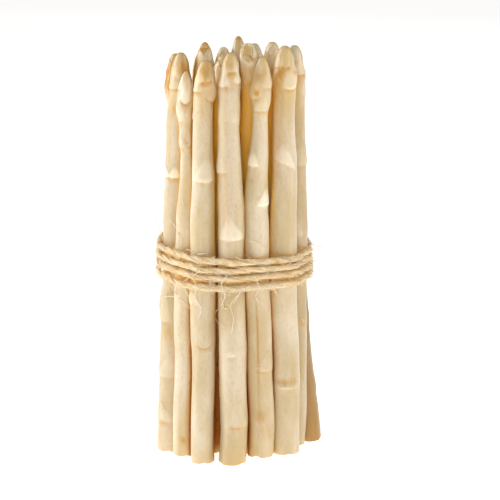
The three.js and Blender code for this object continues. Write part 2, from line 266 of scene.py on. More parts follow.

# %% [markdown]
# ## How much light each place gets
# Asparagus is pale and lets light through, so light that comes out of a narrow gap has been through
# the flesh many times and is a deep gold. Rays are sent out from a coarse net of places on each stem,
# and the share that gets away between the other stems is kept. Later the skin is painted with it as
# painted shade: a deep gold where little sky is open, and a deep brown low down.

# %% Send out the rays
RAYS = 22
RAY_REACH = 90 * MM
NET_ROWS = 30
NET_COLUMNS = 20
OFF_SKIN = 1.3  # how far off the solid a ray starts, so that its own scale leaves don't stop it
CLOSER_UP = 1.3  # above 1, the rows of the net are closer together near the tip


def solids_tree():
    """All the solids in one tree, which finds quickly what a ray hits."""
    points, faces = [], []
    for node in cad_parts.values():
        start = len(points)
        points.extend(v.co.copy() for v in node.data.vertices)
        faces.extend([start + i for i in p.vertices] for p in node.data.polygons)
    return BVHTree.FromPolygons(points, faces)


def ray_fan():
    """Directions round +X in a golden-angle spiral, as dense as light falls on a dull surface."""
    turn = np.arange(RAYS) * math.pi * (3 - math.sqrt(5))
    off = np.sqrt((np.arange(RAYS) + 0.5) / RAYS)
    return np.stack([np.sqrt(1 - off**2), off * np.cos(turn), off * np.sin(turn)], -1)


def open_net(spear, tree, fan):
    """The share of open sky on a net of rows down the stem and columns round it."""
    net = np.zeros((NET_ROWS, NET_COLUMNS))
    rows = spear.length * np.linspace(0.01, 1, NET_ROWS) ** CLOSER_UP
    for i, below in enumerate(rows):
        middle = spear.middle(spear.tip - below, own=0)
        for j, angle in enumerate(np.arange(NET_COLUMNS) * math.tau / NET_COLUMNS):
            out = toward(angle)
            start = middle + out * (spear.radius(below, own=0) + OFF_SKIN)
            start = Vector((start[0] * MM, start[1] * MM, (spear.tip - below) * MM))
            rays = fan[:, :1] * [*out, 0] + fan[:, 1:2] * [-out[1], out[0], 0] + fan[:, 2:] * [0, 0, 1]
            misses = sum(tree.ray_cast(start, Vector(ray), RAY_REACH)[0] is None for ray in rays)
            net[i, j] = misses / RAYS
    return rows, net


def open_share(spear, below, angle):
    """The net of a stem read at any place on it."""
    row = np.interp(below, spear.open_rows, np.arange(NET_ROWS))
    column = (angle % math.tau) * NET_COLUMNS / math.tau
    i, j = np.floor(row).astype(int), np.floor(column).astype(int)
    s, t = row - i, column - j

    def in_column(k):
        above, under = (spear.open_net[np.clip(r, 0, NET_ROWS - 1), k % NET_COLUMNS] for r in (i, i + 1))
        return above * (1 - s) + under * s

    return in_column(j) * (1 - t) + in_column(j + 1) * t


SOLIDS = solids_tree()
for spear in SPEARS:
    spear.open_rows, spear.open_net = open_net(spear, SOLIDS, ray_fan())
shares = np.array([s.open_net for s in SPEARS])
print(f"open sky, from {shares.min():.2f} to {shares.max():.2f}")

# %% [markdown]
# ## Templates
# A stem is a tapering rod with a round head on top and a flat cut end. It starts as a cylinder of
# radius 1 and height 1, cut into a hundred rings along its sides, whose rings are later moved apart
# and given the measured radius. For the closed head the top ring is drawn into one point. One stem of
# this bundle has lost its head, so its top stays flat and gets rings of its own.

# %% The stem
SIDES = 48
CUTS = 100
CUT_RIM = [0.05, 0.25, 0.35]  # how far the rings of the cut end are set in, as shares of the radius
CROWN_RINGS = 22


def stem_template(name, headless):
    """A stem of radius 1 and height 1, with its head drawn into a point or its top left flat."""
    bpy.ops.mesh.primitive_cylinder_add(vertices=SIDES, radius=1, depth=1, end_fill_type="NGON")
    stem = bpy.context.object
    stem.name = name
    z = points_of(stem)[:, 2]
    edit(stem, "EDGE", lambda edge: z[edge.vertices[0]] * z[edge.vertices[1]] < 0)
    bpy.ops.mesh.subdivide(number_cuts=CUTS)
    edit(stem, "FACE", lambda face: face.normal.z < -0.9)
    for thickness in CUT_RIM:
        bpy.ops.mesh.inset(thickness=thickness)
    if headless:
        edit(stem, "FACE", lambda face: face.normal.z > 0.9)
        for _ in range(CROWN_RINGS):
            bpy.ops.mesh.inset(thickness=1 / (CROWN_RINGS + 0.5))
    else:
        edit(stem, "VERT", lambda point: point.co.z > 0.499)
        bpy.ops.mesh.merge(type="CENTER")
    only(stem)
    return stem


STEM = stem_template("stem_template", headless=False)
BROKEN_STEM = stem_template("broken_stem_template", headless=True)
print("stem templates with", len(STEM.data.vertices), "and", len(BROKEN_STEM.data.vertices), "points")

# %% [markdown]
# A scale leaf is a thin triangle that lies flat on the stem, wide at its foot. It is modelled as a flat
# square tile, 2 wide and 2 long, whose face is drawn up by 1 to give it an inner and an outer side.
# Wrapping it round a stem turns its width into an angle and its length into a height.

# %% The scale leaf
LEAF_ACROSS = 12
LEAF_ALONG = 12


def leaf_template():
    """The tile that every scale leaf is wrapped from."""
    bpy.ops.mesh.primitive_grid_add(x_subdivisions=LEAF_ACROSS, y_subdivisions=LEAF_ALONG, size=2)
    leaf = bpy.context.object
    leaf.name = "leaf_template"
    edit(leaf, "FACE", lambda face: True)
    bpy.ops.mesh.extrude_region_move(TRANSFORM_OT_translate={"value": (0, 0, 1)})
    bpy.ops.mesh.select_all(action="SELECT")
    bpy.ops.mesh.normals_make_consistent(inside=False)
    only(leaf)
    return leaf


LEAF = leaf_template()
print("leaf template with", len(LEAF.data.vertices), "points")

# %% [markdown]
# ## The scale leaves of a stem
# They climb the stem in a spiral, 5/13 of a turn from one to the next. On the stem they are far apart
# and narrow. In the head they are wide, close together and overlap, which closes it to a bud. The
# solids give the places of the leaves on the stem, and the head carries on with the same spiral.

# %% What a scale leaf is
LEAF_STEP = math.tau * 5 / 13
HEAD_FEET = [30, 22, 15.5, 10, 5.8]  # how far below the tip the leaves of the head start
HEAD_ENDS = [12, 6.5, 3.2, 1.4, 0.5]  # and how far below it they end
HEAD_PROUD = [0.55, 0.55, 0.5, 0.35, 0.2]  # and how far they stand out


@dataclass
class Leaf:
    foot: float  # distance of its foot below the tip of the stem
    angle: float
    half: float  # half its width, as an angle
    length: float
    proud: float  # how far it stands out
    edge: float = 0.11  # thickness of its margin
    corner: float = 1.5  # how much higher the corners of its foot are than the middle
    tilt: float = 0.0  # how much lower the right-hand end of its foot is than the middle
    lean: float = 0.0  # how far its point leans sideways, as an angle
    pale: float = 0.25  # how much paler it is than the stem
    bud: float = 0.0  # height of the small bud at its foot
    lift: float = 0.0  # how far its margins have come away from the stem
    side: float = 0.0  # which margin stands out more: -1 is only the left one, 1 only the right one
    crease: float = 0.3  # how dark the line under its foot is: a brown scar, with painted shade under the ledge
    ledge: float = 0.35  # how much of its height is left at the very foot, as a share
    in_head: bool = False

    def width_at(self, v):
        """Half its width as an angle, at a share of its length: a round leaf or a pointed one."""
        shape = (1 - v**2.3) ** 0.75 if self.in_head else 1 - v
        return self.half * np.maximum(shape, 0.03) * (1 + 0.06 * np.sin(9 * v + self.foot))

    def places(self, below, angle):
        """Where points are on it: across, -1 to 1 at its margins, and how far above its foot."""
        across = turned(angle - self.angle)
        over_half = across / self.half
        above = self.foot - below - self.corner * over_half**2 + self.tilt * over_half
        v = np.clip(above / self.length, 0, 1)
        return (across - self.lean * v) / self.width_at(v), above


# %% [markdown]
# The stems in front are the ones that everybody looks at, so their leaves are set one by one: a torn
# leaf, a leaf that has come loose, a scar with a bud under it. The places of the others are measured,
# and their sizes are left to chance.


# %% Leaves set one by one
def leaf(foot, facing, half, length, proud, **more):
    """A scale leaf with its angles in degrees. It faces the front at 0 and the right-hand side at 90."""
    more.setdefault("ledge", 0.7 if more.get("in_head") else 0.35)
    return Leaf(foot, math.radians(facing - 90), math.radians(half), length, proud, **more)


OWN_LEAVES = {
    1: [
        leaf(12.5, 8, 72, 11, 0.4, in_head=True, crease=0.5),
        leaf(18, -72, 78, 15, 0.55, in_head=True, corner=0.8, crease=0.7),
        leaf(27, 65, 70, 18, 0.35, in_head=True),
        leaf(63, -60, 38, 7, 0.45, crease=0.6, corner=0.2, pale=0.8),
        leaf(63, -8, 38, 7, 0.45, crease=0.6, corner=0.2, pale=0.8),
        leaf(139, -50, 50, 16, 0.3, lean=0.3, corner=0.5, crease=0.3),
        leaf(192, -22, 48, 11, 0.15, lean=-0.5, side=0.9, crease=0.3),
    ],
    2: [
        leaf(9, -70, 60, 8, 0.45, in_head=True, corner=1, crease=0.3, pale=0.5),
        leaf(15.8, 6, 46, 14, 0.75, in_head=True, corner=3.2, crease=0.9, pale=0.5),
        leaf(14, 100, 60, 11, 0.35, in_head=True, crease=0.4),
        leaf(25, -60, 60, 10, 0.35, corner=0.4, crease=0.4, pale=0.1),
        leaf(37, 30, 50, 9, 0.3, corner=0.4, side=-0.8, crease=0.3, pale=0.1),
        leaf(77, -22, 60, 13, 0.3, corner=0.3, side=0.9, crease=0.15, pale=0.1),
        leaf(139, 10, 55, 12, 0.2, corner=0.3, side=-0.9, crease=0.15, pale=0.1),
    ],
    3: [
        leaf(10, 6, 40, 9, 0.6, in_head=True, corner=0.2, tilt=-0.4, crease=1.0, ledge=0.9, pale=0),
        leaf(15.4, -62, 52, 13, 0.6, in_head=True, corner=0.3, crease=0.7, ledge=0.9, pale=0.5),
        leaf(20, 52, 48, 14, 1.0, in_head=True, corner=2.5, side=0.4, crease=0.7, pale=0.1),
        leaf(30, -130, 70, 17, 0.4, in_head=True),
        leaf(60.4, 4, 75, 15, 0.6, lean=0.4, bud=0.7, corner=0.8, side=0.3, crease=0.15, pale=0.5),
        leaf(146, 6, 46, 6, 0.05, edge=0.02, corner=3, crease=0.75, pale=0),
    ],
    4: [
        leaf(9.2, 12, 34, 8, 0.55, in_head=True, corner=-0.6, crease=0.9, ledge=0.9, pale=0.2),
        leaf(16.6, -48, 48, 13, 0.45, in_head=True, corner=0.6, crease=0.5, ledge=0.7, pale=0.5),
        leaf(15, 62, 44, 12, 0.5, in_head=True, corner=1.5, pale=0.5),
        leaf(24, 170, 84, 18, 0.4, in_head=True),
        leaf(34, 22, 64, 12, 0.42, corner=-0.6, tilt=1.2, lean=-0.4, ledge=0.95, crease=0.15, pale=0.1),
        leaf(93.5, 4, 64, 14, 0.45, lean=-0.3, edge=0.2, corner=0.3, side=0.4, ledge=0.1, crease=0.1,
             pale=0.7),
        leaf(153.4, -6, 24, 5, 0.35, bud=0.5, corner=0.3, crease=0.25),
        leaf(191, 18, 52, 18, 0.25, corner=0.6, side=0.9, ledge=0.1, crease=0.5, pale=0.15),
    ],
    5: [
        leaf(8, -10, 60, 7.5, 0.25, in_head=True, crease=0.1, pale=0.2),
        leaf(15, 50, 54, 13, 0.45, in_head=True, ledge=0.2, crease=0.2, pale=0.3),
        leaf(20.5, -52, 56, 17, 0.5, in_head=True, ledge=0.2, crease=0.35, pale=0.2),
        leaf(26.5, 10, 84, 9, 0.3, corner=0.2, tilt=0.3, ledge=0.6, crease=0.5, pale=0.15),
        leaf(54, -36, 50, 9, 0.45, edge=0.2, lean=0.1, corner=0, side=0.7, ledge=0.3, crease=0.2,
             pale=0.8),
        leaf(74.4, 50, 54, 11, 0.55, bud=0.5, corner=0.3, side=-0.6, ledge=0.4, crease=0.1, pale=1.0),
    ],
    6: [
        leaf(10.6, -54, 26, 8, 0.6, in_head=True, corner=1, crease=0.7, pale=0.6),
        leaf(10.2, 4, 30, 9, 0.65, in_head=True, corner=1.4, crease=0.9, ledge=0.9, pale=0.2),
        leaf(12.5, 66, 34, 9, 0.5, in_head=True, corner=1, crease=0.5),
        leaf(21, 30, 44, 12, 0.95, in_head=True, corner=1, bud=0.4, crease=0.6, ledge=0.5, pale=0.7),
        leaf(28, -150, 80, 18, 0.4, in_head=True),
        leaf(58.5, 4, 62, 12, 0.5, edge=0.2, lean=-0.1, corner=-0.5, tilt=3, side=0.8, ledge=0.7,
             crease=0.1, pale=0.55),
        leaf(175.5, 6, 50, 3.5, 0.6, corner=0.5, bud=0.5, ledge=0.2, crease=0.1),
    ],
    7: [
        leaf(8, -30, 70, 7.5, 0.4, in_head=True, crease=0.3),
        leaf(14.3, 22, 84, 13, 0.6, in_head=True, corner=0.3, crease=0.9, ledge=0.9),
        leaf(26, 110, 70, 16, 0.4, in_head=True),
        leaf(60.4, 36, 64, 14, 0.35, corner=0.5, side=0.7, crease=0.3),
        leaf(96.7, -4, 50, 14, 0.35, corner=0.6, side=-0.8, crease=0.2),
        leaf(143, 36, 24, 4, 0.35, bud=0.45, crease=0.6),
    ],
    9: [
        leaf(2.8, -10, 85, 2.6, 0.3, in_head=True, corner=0.2, crease=1.0, ledge=0.9),
        leaf(15, -56, 64, 12.5, 0.7, in_head=True, lift=0.3, side=0.5, crease=0.5),
        leaf(16, 34, 60, 13.5, 0.7, in_head=True, lift=0.3, side=-0.5, crease=0.5),
        leaf(25, 140, 80, 20, 0.4, in_head=True),
    ],
    10: [
        leaf(5, 20, 70, 4.5, 0.35, in_head=True, crease=0.5),
        leaf(16, -48, 62, 14, 0.9, in_head=True, lift=0.6, corner=-1, crease=0.8),
        leaf(20, 90, 70, 16, 0.4, in_head=True),
    ],
    14: [
        leaf(12, 0, 84, 11, 0.6, in_head=True, corner=0.3, crease=0.8, ledge=0.9),
        leaf(17, 150, 84, 14, 0.4, in_head=True),
    ],
}
APART = (12, math.radians(70))  # a measured leaf this close to a listed one is left out


# %% Leaves of one stem
def measured_leaves(spear, chance):
    """Leaves at the measured places, with sizes left to chance."""
    own = OWN_LEAVES.get(spear.number, [])
    leaves = []
    for below, angle in spear.leaves:
        size = Leaf(
            foot=below,
            angle=angle + chance.uniform(-0.1, 0.1),
            half=math.radians(chance.uniform(48, 72)),
            length=chance.uniform(10, 17),
            proud=chance.uniform(0.25, 0.5),
            corner=chance.uniform(0.1, 1.0),
            tilt=chance.uniform(-1, 1),
            lean=chance.uniform(-0.35, 0.35),
            pale=chance.uniform(0.0, 0.3),
            bud=chance.choice([0, 0.3, 0.5]),
            lift=chance.choice([0, 0, 0.2]),
            side=chance.uniform(-1, 1),
            crease=chance.uniform(0.1, 0.7),
            ledge=chance.uniform(0.1, 0.7),
        )
        if all(abs(o.foot - below) > APART[0] or abs(turned(o.angle - angle)) > APART[1] for o in own):
            leaves.append(size)
    return leaves


def head_leaves(spear, chance):
    """The five leaves that close a head. The spiral of the stem carries on through them."""
    leaves = []
    for k, (foot, end, proud) in enumerate(zip(HEAD_FEET, HEAD_ENDS, HEAD_PROUD)):
        leaves.append(Leaf(
            foot=foot * chance.uniform(0.88, 1.12),
            angle=spear.leaves[0][1] - spear.climb * LEAF_STEP * (k + 1),
            half=math.radians(chance.uniform(46, 72)),
            length=foot * 0.95 - end,
            proud=proud * chance.uniform(0.7, 1.15),
            corner=chance.uniform(0, 0.12) * foot,
            lean=chance.uniform(-0.2, 0.2),
            lift=chance.choice([0, 0, 0.12, 0.3]),
            side=chance.uniform(-0.6, 0.6),
            crease=chance.uniform(0.1, 0.6),
            pale=chance.uniform(0.0, 0.6),
            ledge=chance.uniform(0.4, 0.9),
            in_head=True,
        ))
    return leaves


for index, spear in enumerate(SPEARS):
    spear.chance = np.random.default_rng(100 + index)
    spear.scale_leaves = measured_leaves(spear, spear.chance)
    if spear.number in OWN_LEAVES:
        spear.scale_leaves += OWN_LEAVES[spear.number]
    elif not spear.snapped:
        spear.scale_leaves += head_leaves(spear, spear.chance)
print("scale leaves:", sum(len(s.scale_leaves) for s in SPEARS))

# %% [markdown]
# ## Building a stem
# A stem is built straight, with its tip at the origin and one unit to the millimetre, because joining
# solids works best with sizes near 1. The leaves are wrapped round it and united with it, so that the
# stem has one closed skin and light can travel inside it. Only then is it bent to its measured line.

# %% The skin of a straight stem
RING_SPREAD = 1.5  # above 1, the rings are closer together near the tip
SWELL = 0.35  # how much a stem swells above the foot of a leaf
RIB = 0.06  # how deep the shallow ribs along a stem are
UNEVEN = 0.22  # how far its sides stray from an even taper
HEAD_LUMPS = 0.2  # how lumpy the head is
CUT_HOLLOW = 0.5  # how far a cut end has dried in
CUT_FRAYED = 0.35  # how uneven its rim is
MORE_FRAYED = {5: 2.2, 8: 2.0}  # how many times as uneven some rims are


def skin_radius(spear, below, angle):
    """Radius of a stem's skin, without its scale leaves."""
    radius = spear.radius(below)
    for leaf in spear.scale_leaves:
        if not leaf.in_head:
            around = 0.5 + 0.5 * np.cos(angle - leaf.angle)
            swell = hump(below, leaf.foot - 3, 5) - 0.7 * hump(below, leaf.foot + 3, 3)
            radius = radius + SWELL * around * swell
    seed = 3.1 * spear.tip  # sets the waves of one stem apart from those of the next
    grown = smooth(below, 5, 40)
    ribs = np.cos(5 * angle + spear.tip) + 0.6 * np.cos(8 * angle + below / 40)
    uneven = np.sin(below / 13 + seed) * np.cos(angle + seed)
    uneven = uneven + 0.7 * np.sin(below / 7 - seed) * np.cos(angle - seed)
    flat = 0.8 * np.sin(below / 31 + seed) * np.cos(2 * angle + below / 50)
    lumps = np.sin(below / 2.4 + seed) * np.cos(2 * angle - seed)
    lumps = lumps + np.sin(below / 1.7 - seed) * np.cos(3 * angle + seed)
    lumps = lumps * smooth(below, 1, 7) * (1 - smooth(below, 20, 34))
    return radius + grown * (RIB * ribs + UNEVEN * (uneven + flat)) + HEAD_LUMPS * lumps


def straight_stem(spear):
    """A copy of the template with the radius of the stem, its tip at the origin and its foot below."""
    body = copy_of(BROKEN_STEM if spear.snapped else STEM, spear.name + "_dressed")
    x, y, z = points_of(body).T
    share = np.hypot(x, y)  # 1 on the side of the stem, and less on its two ends
    angle = np.arctan2(y, x)
    below = spear.length * (0.5 - z) ** RING_SPREAD
    radius = skin_radius(spear, below, angle) * np.minimum(share, 1)
    frayed = np.sin(3 * angle + spear.tip) + 0.6 * np.sin(7 * angle + 2 * spear.tip)
    frayed = frayed + 0.2 * np.sin(17 * angle)
    frayed = CUT_FRAYED * MORE_FRAYED.get(spear.number, 1) * np.maximum(frayed, 0) * share**4
    on_cut = z < -0.49
    raised = np.where(on_cut, CUT_HOLLOW * smooth(1 - share, 0.03, 0.5) + frayed, 0)
    if spear.snapped:
        raised = raised + crown(share, angle, below)
    move_points(body, np.stack([radius * np.cos(angle), radius * np.sin(angle), raised - below], -1))
    return body


# %% [markdown]
# The broken stem ends in a slanting face that looks to the front. In the middle of it sit the youngest
# leaves, as a close spiral of tiny buds, inside a paler rim. The spiral sets each bud a golden angle
# further round than the last, as plants do, and each bud is a small mound in the rings of the face.

# %% The broken top
BREAK_DROP = 11.0  # how much lower the front of the break is than its back
TILT_LENGTH = 26.0  # length over which the rings of the stem tilt towards the break
BUDS = 34
BUD_HEIGHT = 1.0
RIM_HEIGHT = 1.1
RIM_OUT = 0.78  # how far out the top of the rim is, as a share of the stem's radius
BUD_SIZE = 0.11  # radius of a bud, as a share of the stem's
BUDS_OUT = 0.5  # how far out the buds reach, as a share of it
BUDS_BACK = 0.13  # how far behind the middle of the break they sit


def bud_mounds(px, py):
    """1 on the middle of a bud and 0 between the buds. The place is in shares of the stem's radius."""
    seat = np.sqrt((np.arange(BUDS) + 0.5) / BUDS) * BUDS_OUT
    turn = np.arange(BUDS) * math.pi * (3 - math.sqrt(5))
    off = np.hypot(px[:, None] - seat * np.cos(turn), py[:, None] - BUDS_BACK - seat * np.sin(turn))
    return np.sqrt(np.clip(1 - (off.min(1) / BUD_SIZE) ** 2, 0, 1))


def crown(share, angle, below):
    """How far the points of the broken stem are raised."""
    tilt = 1 - smooth(below, 0, TILT_LENGTH)
    drop = -tilt * BREAK_DROP / 2 * (1 - np.minimum(share, 1) * np.sin(angle))
    on_face = (share < 0.995) & (below < 1)
    mound = BUD_HEIGHT * bud_mounds(share * np.cos(angle), share * np.sin(angle))
    torn = 0.3 * np.sin(9 * angle + 14 * share) * np.sin(5 * angle - 23 * share)
    torn = torn * smooth(share, 0.55, 0.8)
    face = RIM_HEIGHT * hump(share, RIM_OUT, 0.2) - 0.3 * (1 - share) + mound + torn
    return drop + np.where(on_face, face, 0)


# %% Wrap a leaf round it
SUNK = 0.35  # how deep the inner side of a leaf lies under the skin
FOOT_ROUND = 1.5  # length over which the foot of a leaf is rounded down


def wrapped_leaf(spear, leaf, name):
    """A copy of the tile in the shape of one leaf, lying on the straight stem."""
    obj = copy_of(LEAF, name)
    u, y, z = points_of(obj).T  # u is -1 and 1 at its margins
    v = ((y + 1) / 2) ** 1.25  # 0 at its foot and 1 at its point
    angle = leaf.angle + u * leaf.width_at(v) + leaf.lean * v
    foot_line = leaf.tilt * u - leaf.corner * u**2 + 0.25 * np.sin(5 * u + leaf.foot)
    below = leaf.foot - v * leaf.length + foot_line * (1 - v)
    skin = skin_radius(spear, below, angle)
    from_margin = (1 - np.abs(u)) * leaf.width_at(v) * skin
    from_foot = v * leaf.length
    full = leaf.proud * (1 - 0.75 * v)
    edge = leaf.edge * (1.5 * np.sqrt(v) - 0.3)
    height = edge + (full - edge) * smooth(from_margin, -0.3, 2.8)
    height = height * (1 + leaf.side * u)
    height = height * (leaf.ledge + (1 - leaf.ledge) * smooth(from_foot, -0.1, FOOT_ROUND))
    height = height + leaf.bud * hump(u * leaf.half * skin, 0, 1.4) * hump(from_foot, 1.5, 1.4)
    away = leaf.lift * (1 + leaf.side * u) * (0.3 + 0.7 * v) * np.abs(u) ** 3 * smooth(v, 0, 0.25)
    outer_side = z > 0.5
    radius = skin + np.where(outer_side, height + away, np.minimum(away, 0.6) - SUNK)
    move_points(obj, np.stack([radius * np.cos(angle), radius * np.sin(angle), -below], -1))
    return obj


# %% Unite them
def unite(body, parts):
    """Makes one closed skin of a stem and its leaves."""
    for part in parts:
        only(body)
        join = body.modifiers.new("join", "BOOLEAN")
        join.operation = "UNION"
        join.solver = "MANIFOLD"
        join.object = part
        bpy.ops.object.modifier_apply(modifier=join.name)
    remove(*parts)


# %% Bend it
WAVER = 0.3  # how far a stem strays sideways from its measured line


def bend(spear, body):
    """Moves a straight stem to its measured line, in metres."""
    x, y, down = points_of(body).T
    z = spear.tip + down
    middle = spear.middle(z)
    seed = 5.3 * spear.tip
    sway = np.stack([np.sin(z / 15 + seed) + 0.5 * np.sin(z / 8 - seed), np.cos(z / 19 - seed)], -1)
    middle = middle + WAVER * smooth(np.abs(z - WAIST), 8, 32)[:, None] * sway
    move_points(body, np.stack([x + middle[:, 0], y + middle[:, 1], z], -1) * MM)


# %% [markdown]
# ## Painting values on the skin
# The finish of the skin changes from place to place, and much of it follows the plant: the head, the
# cut end, the thin pale skin of the leaves, a brown line under each leaf and old bruises. Shade is
# painted on it too: darker under the foot of each leaf and on some of the marks, darker straw on some
# stems, and a deep gold, lower down a deep brown, in the gaps between the stems and under the tie.
# While a stem is still straight these places are easy to work out, so they are written on its points
# now, as attributes that the material reads. `grain` keeps the straight place of each point in
# millimetres, so that every pattern runs along the stem and bends with it.

# %% Marks set one by one
# Most marks are bruises and brown tips. The gold notches between head leaves and the long tan patches on
# the shaded sides of stems 3, 4 and 6 are painted shade.
MARKS = {  # for each stem: distance below the tip, degrees to the right, height, width and depth
    1: [(8.5, 22, 10, 7, 0.7), (144, -28, 7, 9, 0.3), (193, -41, 4, 4, 0.5)],
    2: [
        (18, 6, 5, 5, 0.4), (24, 10, 12, 3, 0.35), (35, -1, 3, 2.5, 0.6), (165, 21, 80, 1.4, 0.3),
        (190.6, 3, 3, 3, 0.55),
    ],
    3: [
        (5.5, 6, 8, 6, 0.45), (11.5, 10, 2.4, 7, 0.6), (16, 40, 12, 7, 0.35), (62, -2, 1.4, 1.4, 0.7),
        (24, 40, 16, 8, 0.35),
    ],
    4: [
        (6.2, -2, 4.5, 5, 0.3), (11.2, 14, 4, 5, 0.7), (13.5, 20, 6, 2.4, 0.5), (17.5, -4, 3, 9, 0.4),
        (191, 15, 2, 8, 0.3), (74, -34, 44, 8, 0.35),
    ],
    5: [
        (11, -5, 10, 9, 0.25), (16.2, -26, 6, 5, 0.5), (16.8, -22, 2.6, 2.4, 1.5),
        (152, -7, 54, 0.8, 0.7), (184, -3, 6, 5, 0.5), (192, 8, 8, 12, 0.25),
    ],
    6: [
        (12.5, -22, 4.5, 5, 0.6), (14.5, -20, 5, 2.5, 0.6), (18, -52, 14, 6, 0.5),
        (171.5, -14, 2.2, 8, 0.8), (171, 33, 2, 4, 0.8), (105, -40, 40, 5, 0.14), (40, -38, 40, 8, 0.35),
    ],
    7: [(16.5, 30, 4, 9, 0.35), (142, 36, 1.6, 1.6, 0.6)],
    8: [(185, 45, 50, 22, 0.3)],
    9: [(0.5, 0, 5, 40, 0.8), (14, -70, 8, 7, 0.8)],
    10: [(10, -20, 12, 8, 0.3)],
    11: [(6, 50, 3, 2, 1.5)],
    14: [(0.5, 0, 3, 40, 0.7)],
    25: [(11, -70, 14, 7, 1.6)],
}
SPOTS = 5  # small marks on every stem, left to chance


def marks_of(spear):
    """All the marks of a stem: bruises, and patches of painted shade. What is deeper than 1 turns a dark
    brown.
    """
    chance = spear.chance
    spots = [
        (
            chance.uniform(15, 195), chance.uniform(-180, 180),
            chance.gamma(2, 1.2) + 0.6, chance.gamma(2, 0.7) + 0.5, chance.uniform(0.12, 0.5),
        )
        for _ in range(SPOTS)
    ]
    return MARKS.get(spear.number, []) + spots


# %% Leaves and marks
CREASE = 2.4  # how far the brown line and the painted shade under a leaf reach down


def leaf_values(spear, below, angle):
    """How dark the skin is under each leaf, as a brown line with painted shade, and how pale on it."""
    crease, pale = np.zeros(len(below)), np.zeros(len(below))
    for leaf in spear.scale_leaves:
        across, above = leaf.places(below, angle)
        middle = 1 - smooth(np.abs(across), 0.6, 1.0)
        # under the foot of a leaf: a brown line, with painted shade under its ledge
        line = smooth(-above, -0.5, 0.2) * (1 - smooth(-above, 0.3, CREASE))
        crease = np.maximum(crease, leaf.crease * line * middle)
        inside = (1 - smooth(np.abs(across), 0.7, 1.1)) * smooth(above, -0.2, 0.4)
        faded = 1 - smooth(above, 0.4 * leaf.length, leaf.length)
        pale = np.maximum(pale, leaf.pale * inside * faded)
    return crease, pale


def bruise_and_shade_values(spear, below, angle, skin):
    """How deep the marks are, bruises and painted shade alike. Each is an oval spot with an uneven edge.
    """
    bruise_and_shade = np.zeros(len(below))
    for at, facing, tall, wide, depth in marks_of(spear):
        off = turned(angle - math.radians(facing - 90)) * skin
        stray = 0.35 * np.sin(1.9 * off + at) + 0.25 * np.sin(1.1 * below - 2.3 * off)
        spot = hump(below + 0.4 * tall * stray, at, tall / 2) * hump(off, 0, wide / 2)
        bruise_and_shade = np.maximum(bruise_and_shade, depth * spot)
    return bruise_and_shade


# %% Paint for the broken top
BUD_FIELD = (0.36, 0.62)  # where the buds end and the pale rim starts, as shares of the radius


def paint_break(x, y, down, skin, gap_shade, bruise_and_shade, pale):
    """Adds gold and tan painted shade in the hollows between the buds, and the paler rim round them."""
    angle = np.arctan2(y, x)
    inside = smooth(skin - np.hypot(x, y), 0.15, 0.6) * (down > -BREAK_DROP - 2)
    mound = bud_mounds(x / skin, y / skin)
    ragged = 0.05 * np.sin(5 * angle + 1) + 0.04 * np.sin(13 * angle)
    rim = smooth(np.hypot(x, y - BUDS_BACK * skin) / skin + ragged, *BUD_FIELD)
    gap_shade = gap_shade * (1 - inside) + inside * (0.06 + 0.6 * (1 - mound) * (1 - rim))
    bruise_and_shade = np.maximum(bruise_and_shade, inside * (1 - rim) * (0.8 - mound))
    pale = np.maximum(pale, 0.7 * inside * rim)
    return gap_shade, bruise_and_shade, pale


# %% Values for the skin
INNER = range(9, 19)  # the stems with other stems all round them
INNER_GAP_SHADE = (0.1, 0.65, 0.95)  # open sky at which the painted gold shade is full, at which it ends, and its most
OUTER_GAP_SHADE = (0.0, 0.42, 0.6)  # the same painted shade for the other stems
GAP_SHADE_BELOW = (2, 26)  # distances below the tip between which the painted gold shade sets in
LOW = (30, 130)  # heights between which the painted shade in the gaps turns from gold to a deep brown, the lower the more
TIE_SHADE_GOLD = 0.65  # how much painted gold shade a stem has under the tie
TIE_LOWER = 0.6  # how much lower than WAIST the middle of that is, as the tie sags in front
TIE_REACH = (6, 9)  # distances from there between which it ends
HEAD_TINT = (6, 45)  # distances below the tip between which the tint of the head ends
FOOT_TINT = 16  # how far up from the cut end its tint reaches
SHADED = {  # how much some stems are darkened to a brownish straw: painted shade where they stand in shadow, with a darker tone of their own
    1: 0.16, 2: 0, 4: 0.14, 7: 0.3, 8: 1.0, 9: 0.1, 10: 0, 11: 0.05, 12: 0, 13: 0, 14: 0.3, 15: 0.05,
    25: 0.3,
}
SHADED_MOST = 0.15  # the others are left to chance, up to this
PALER_UP = {8: 0.8}  # the share of it that a stem has lost by its upper half
PALER = (55, 125)  # heights between which it does
STEMS_APART = 300  # keeps the patterns of one stem away from the next one's


def keep(obj, name, kind, values):
    """Writes a value for each point of a mesh, for its material to read."""
    attribute = obj.data.attributes.new(name, kind, "POINT")
    attribute.data.foreach_set("vector" if kind == "FLOAT_VECTOR" else "color", np.ravel(values))


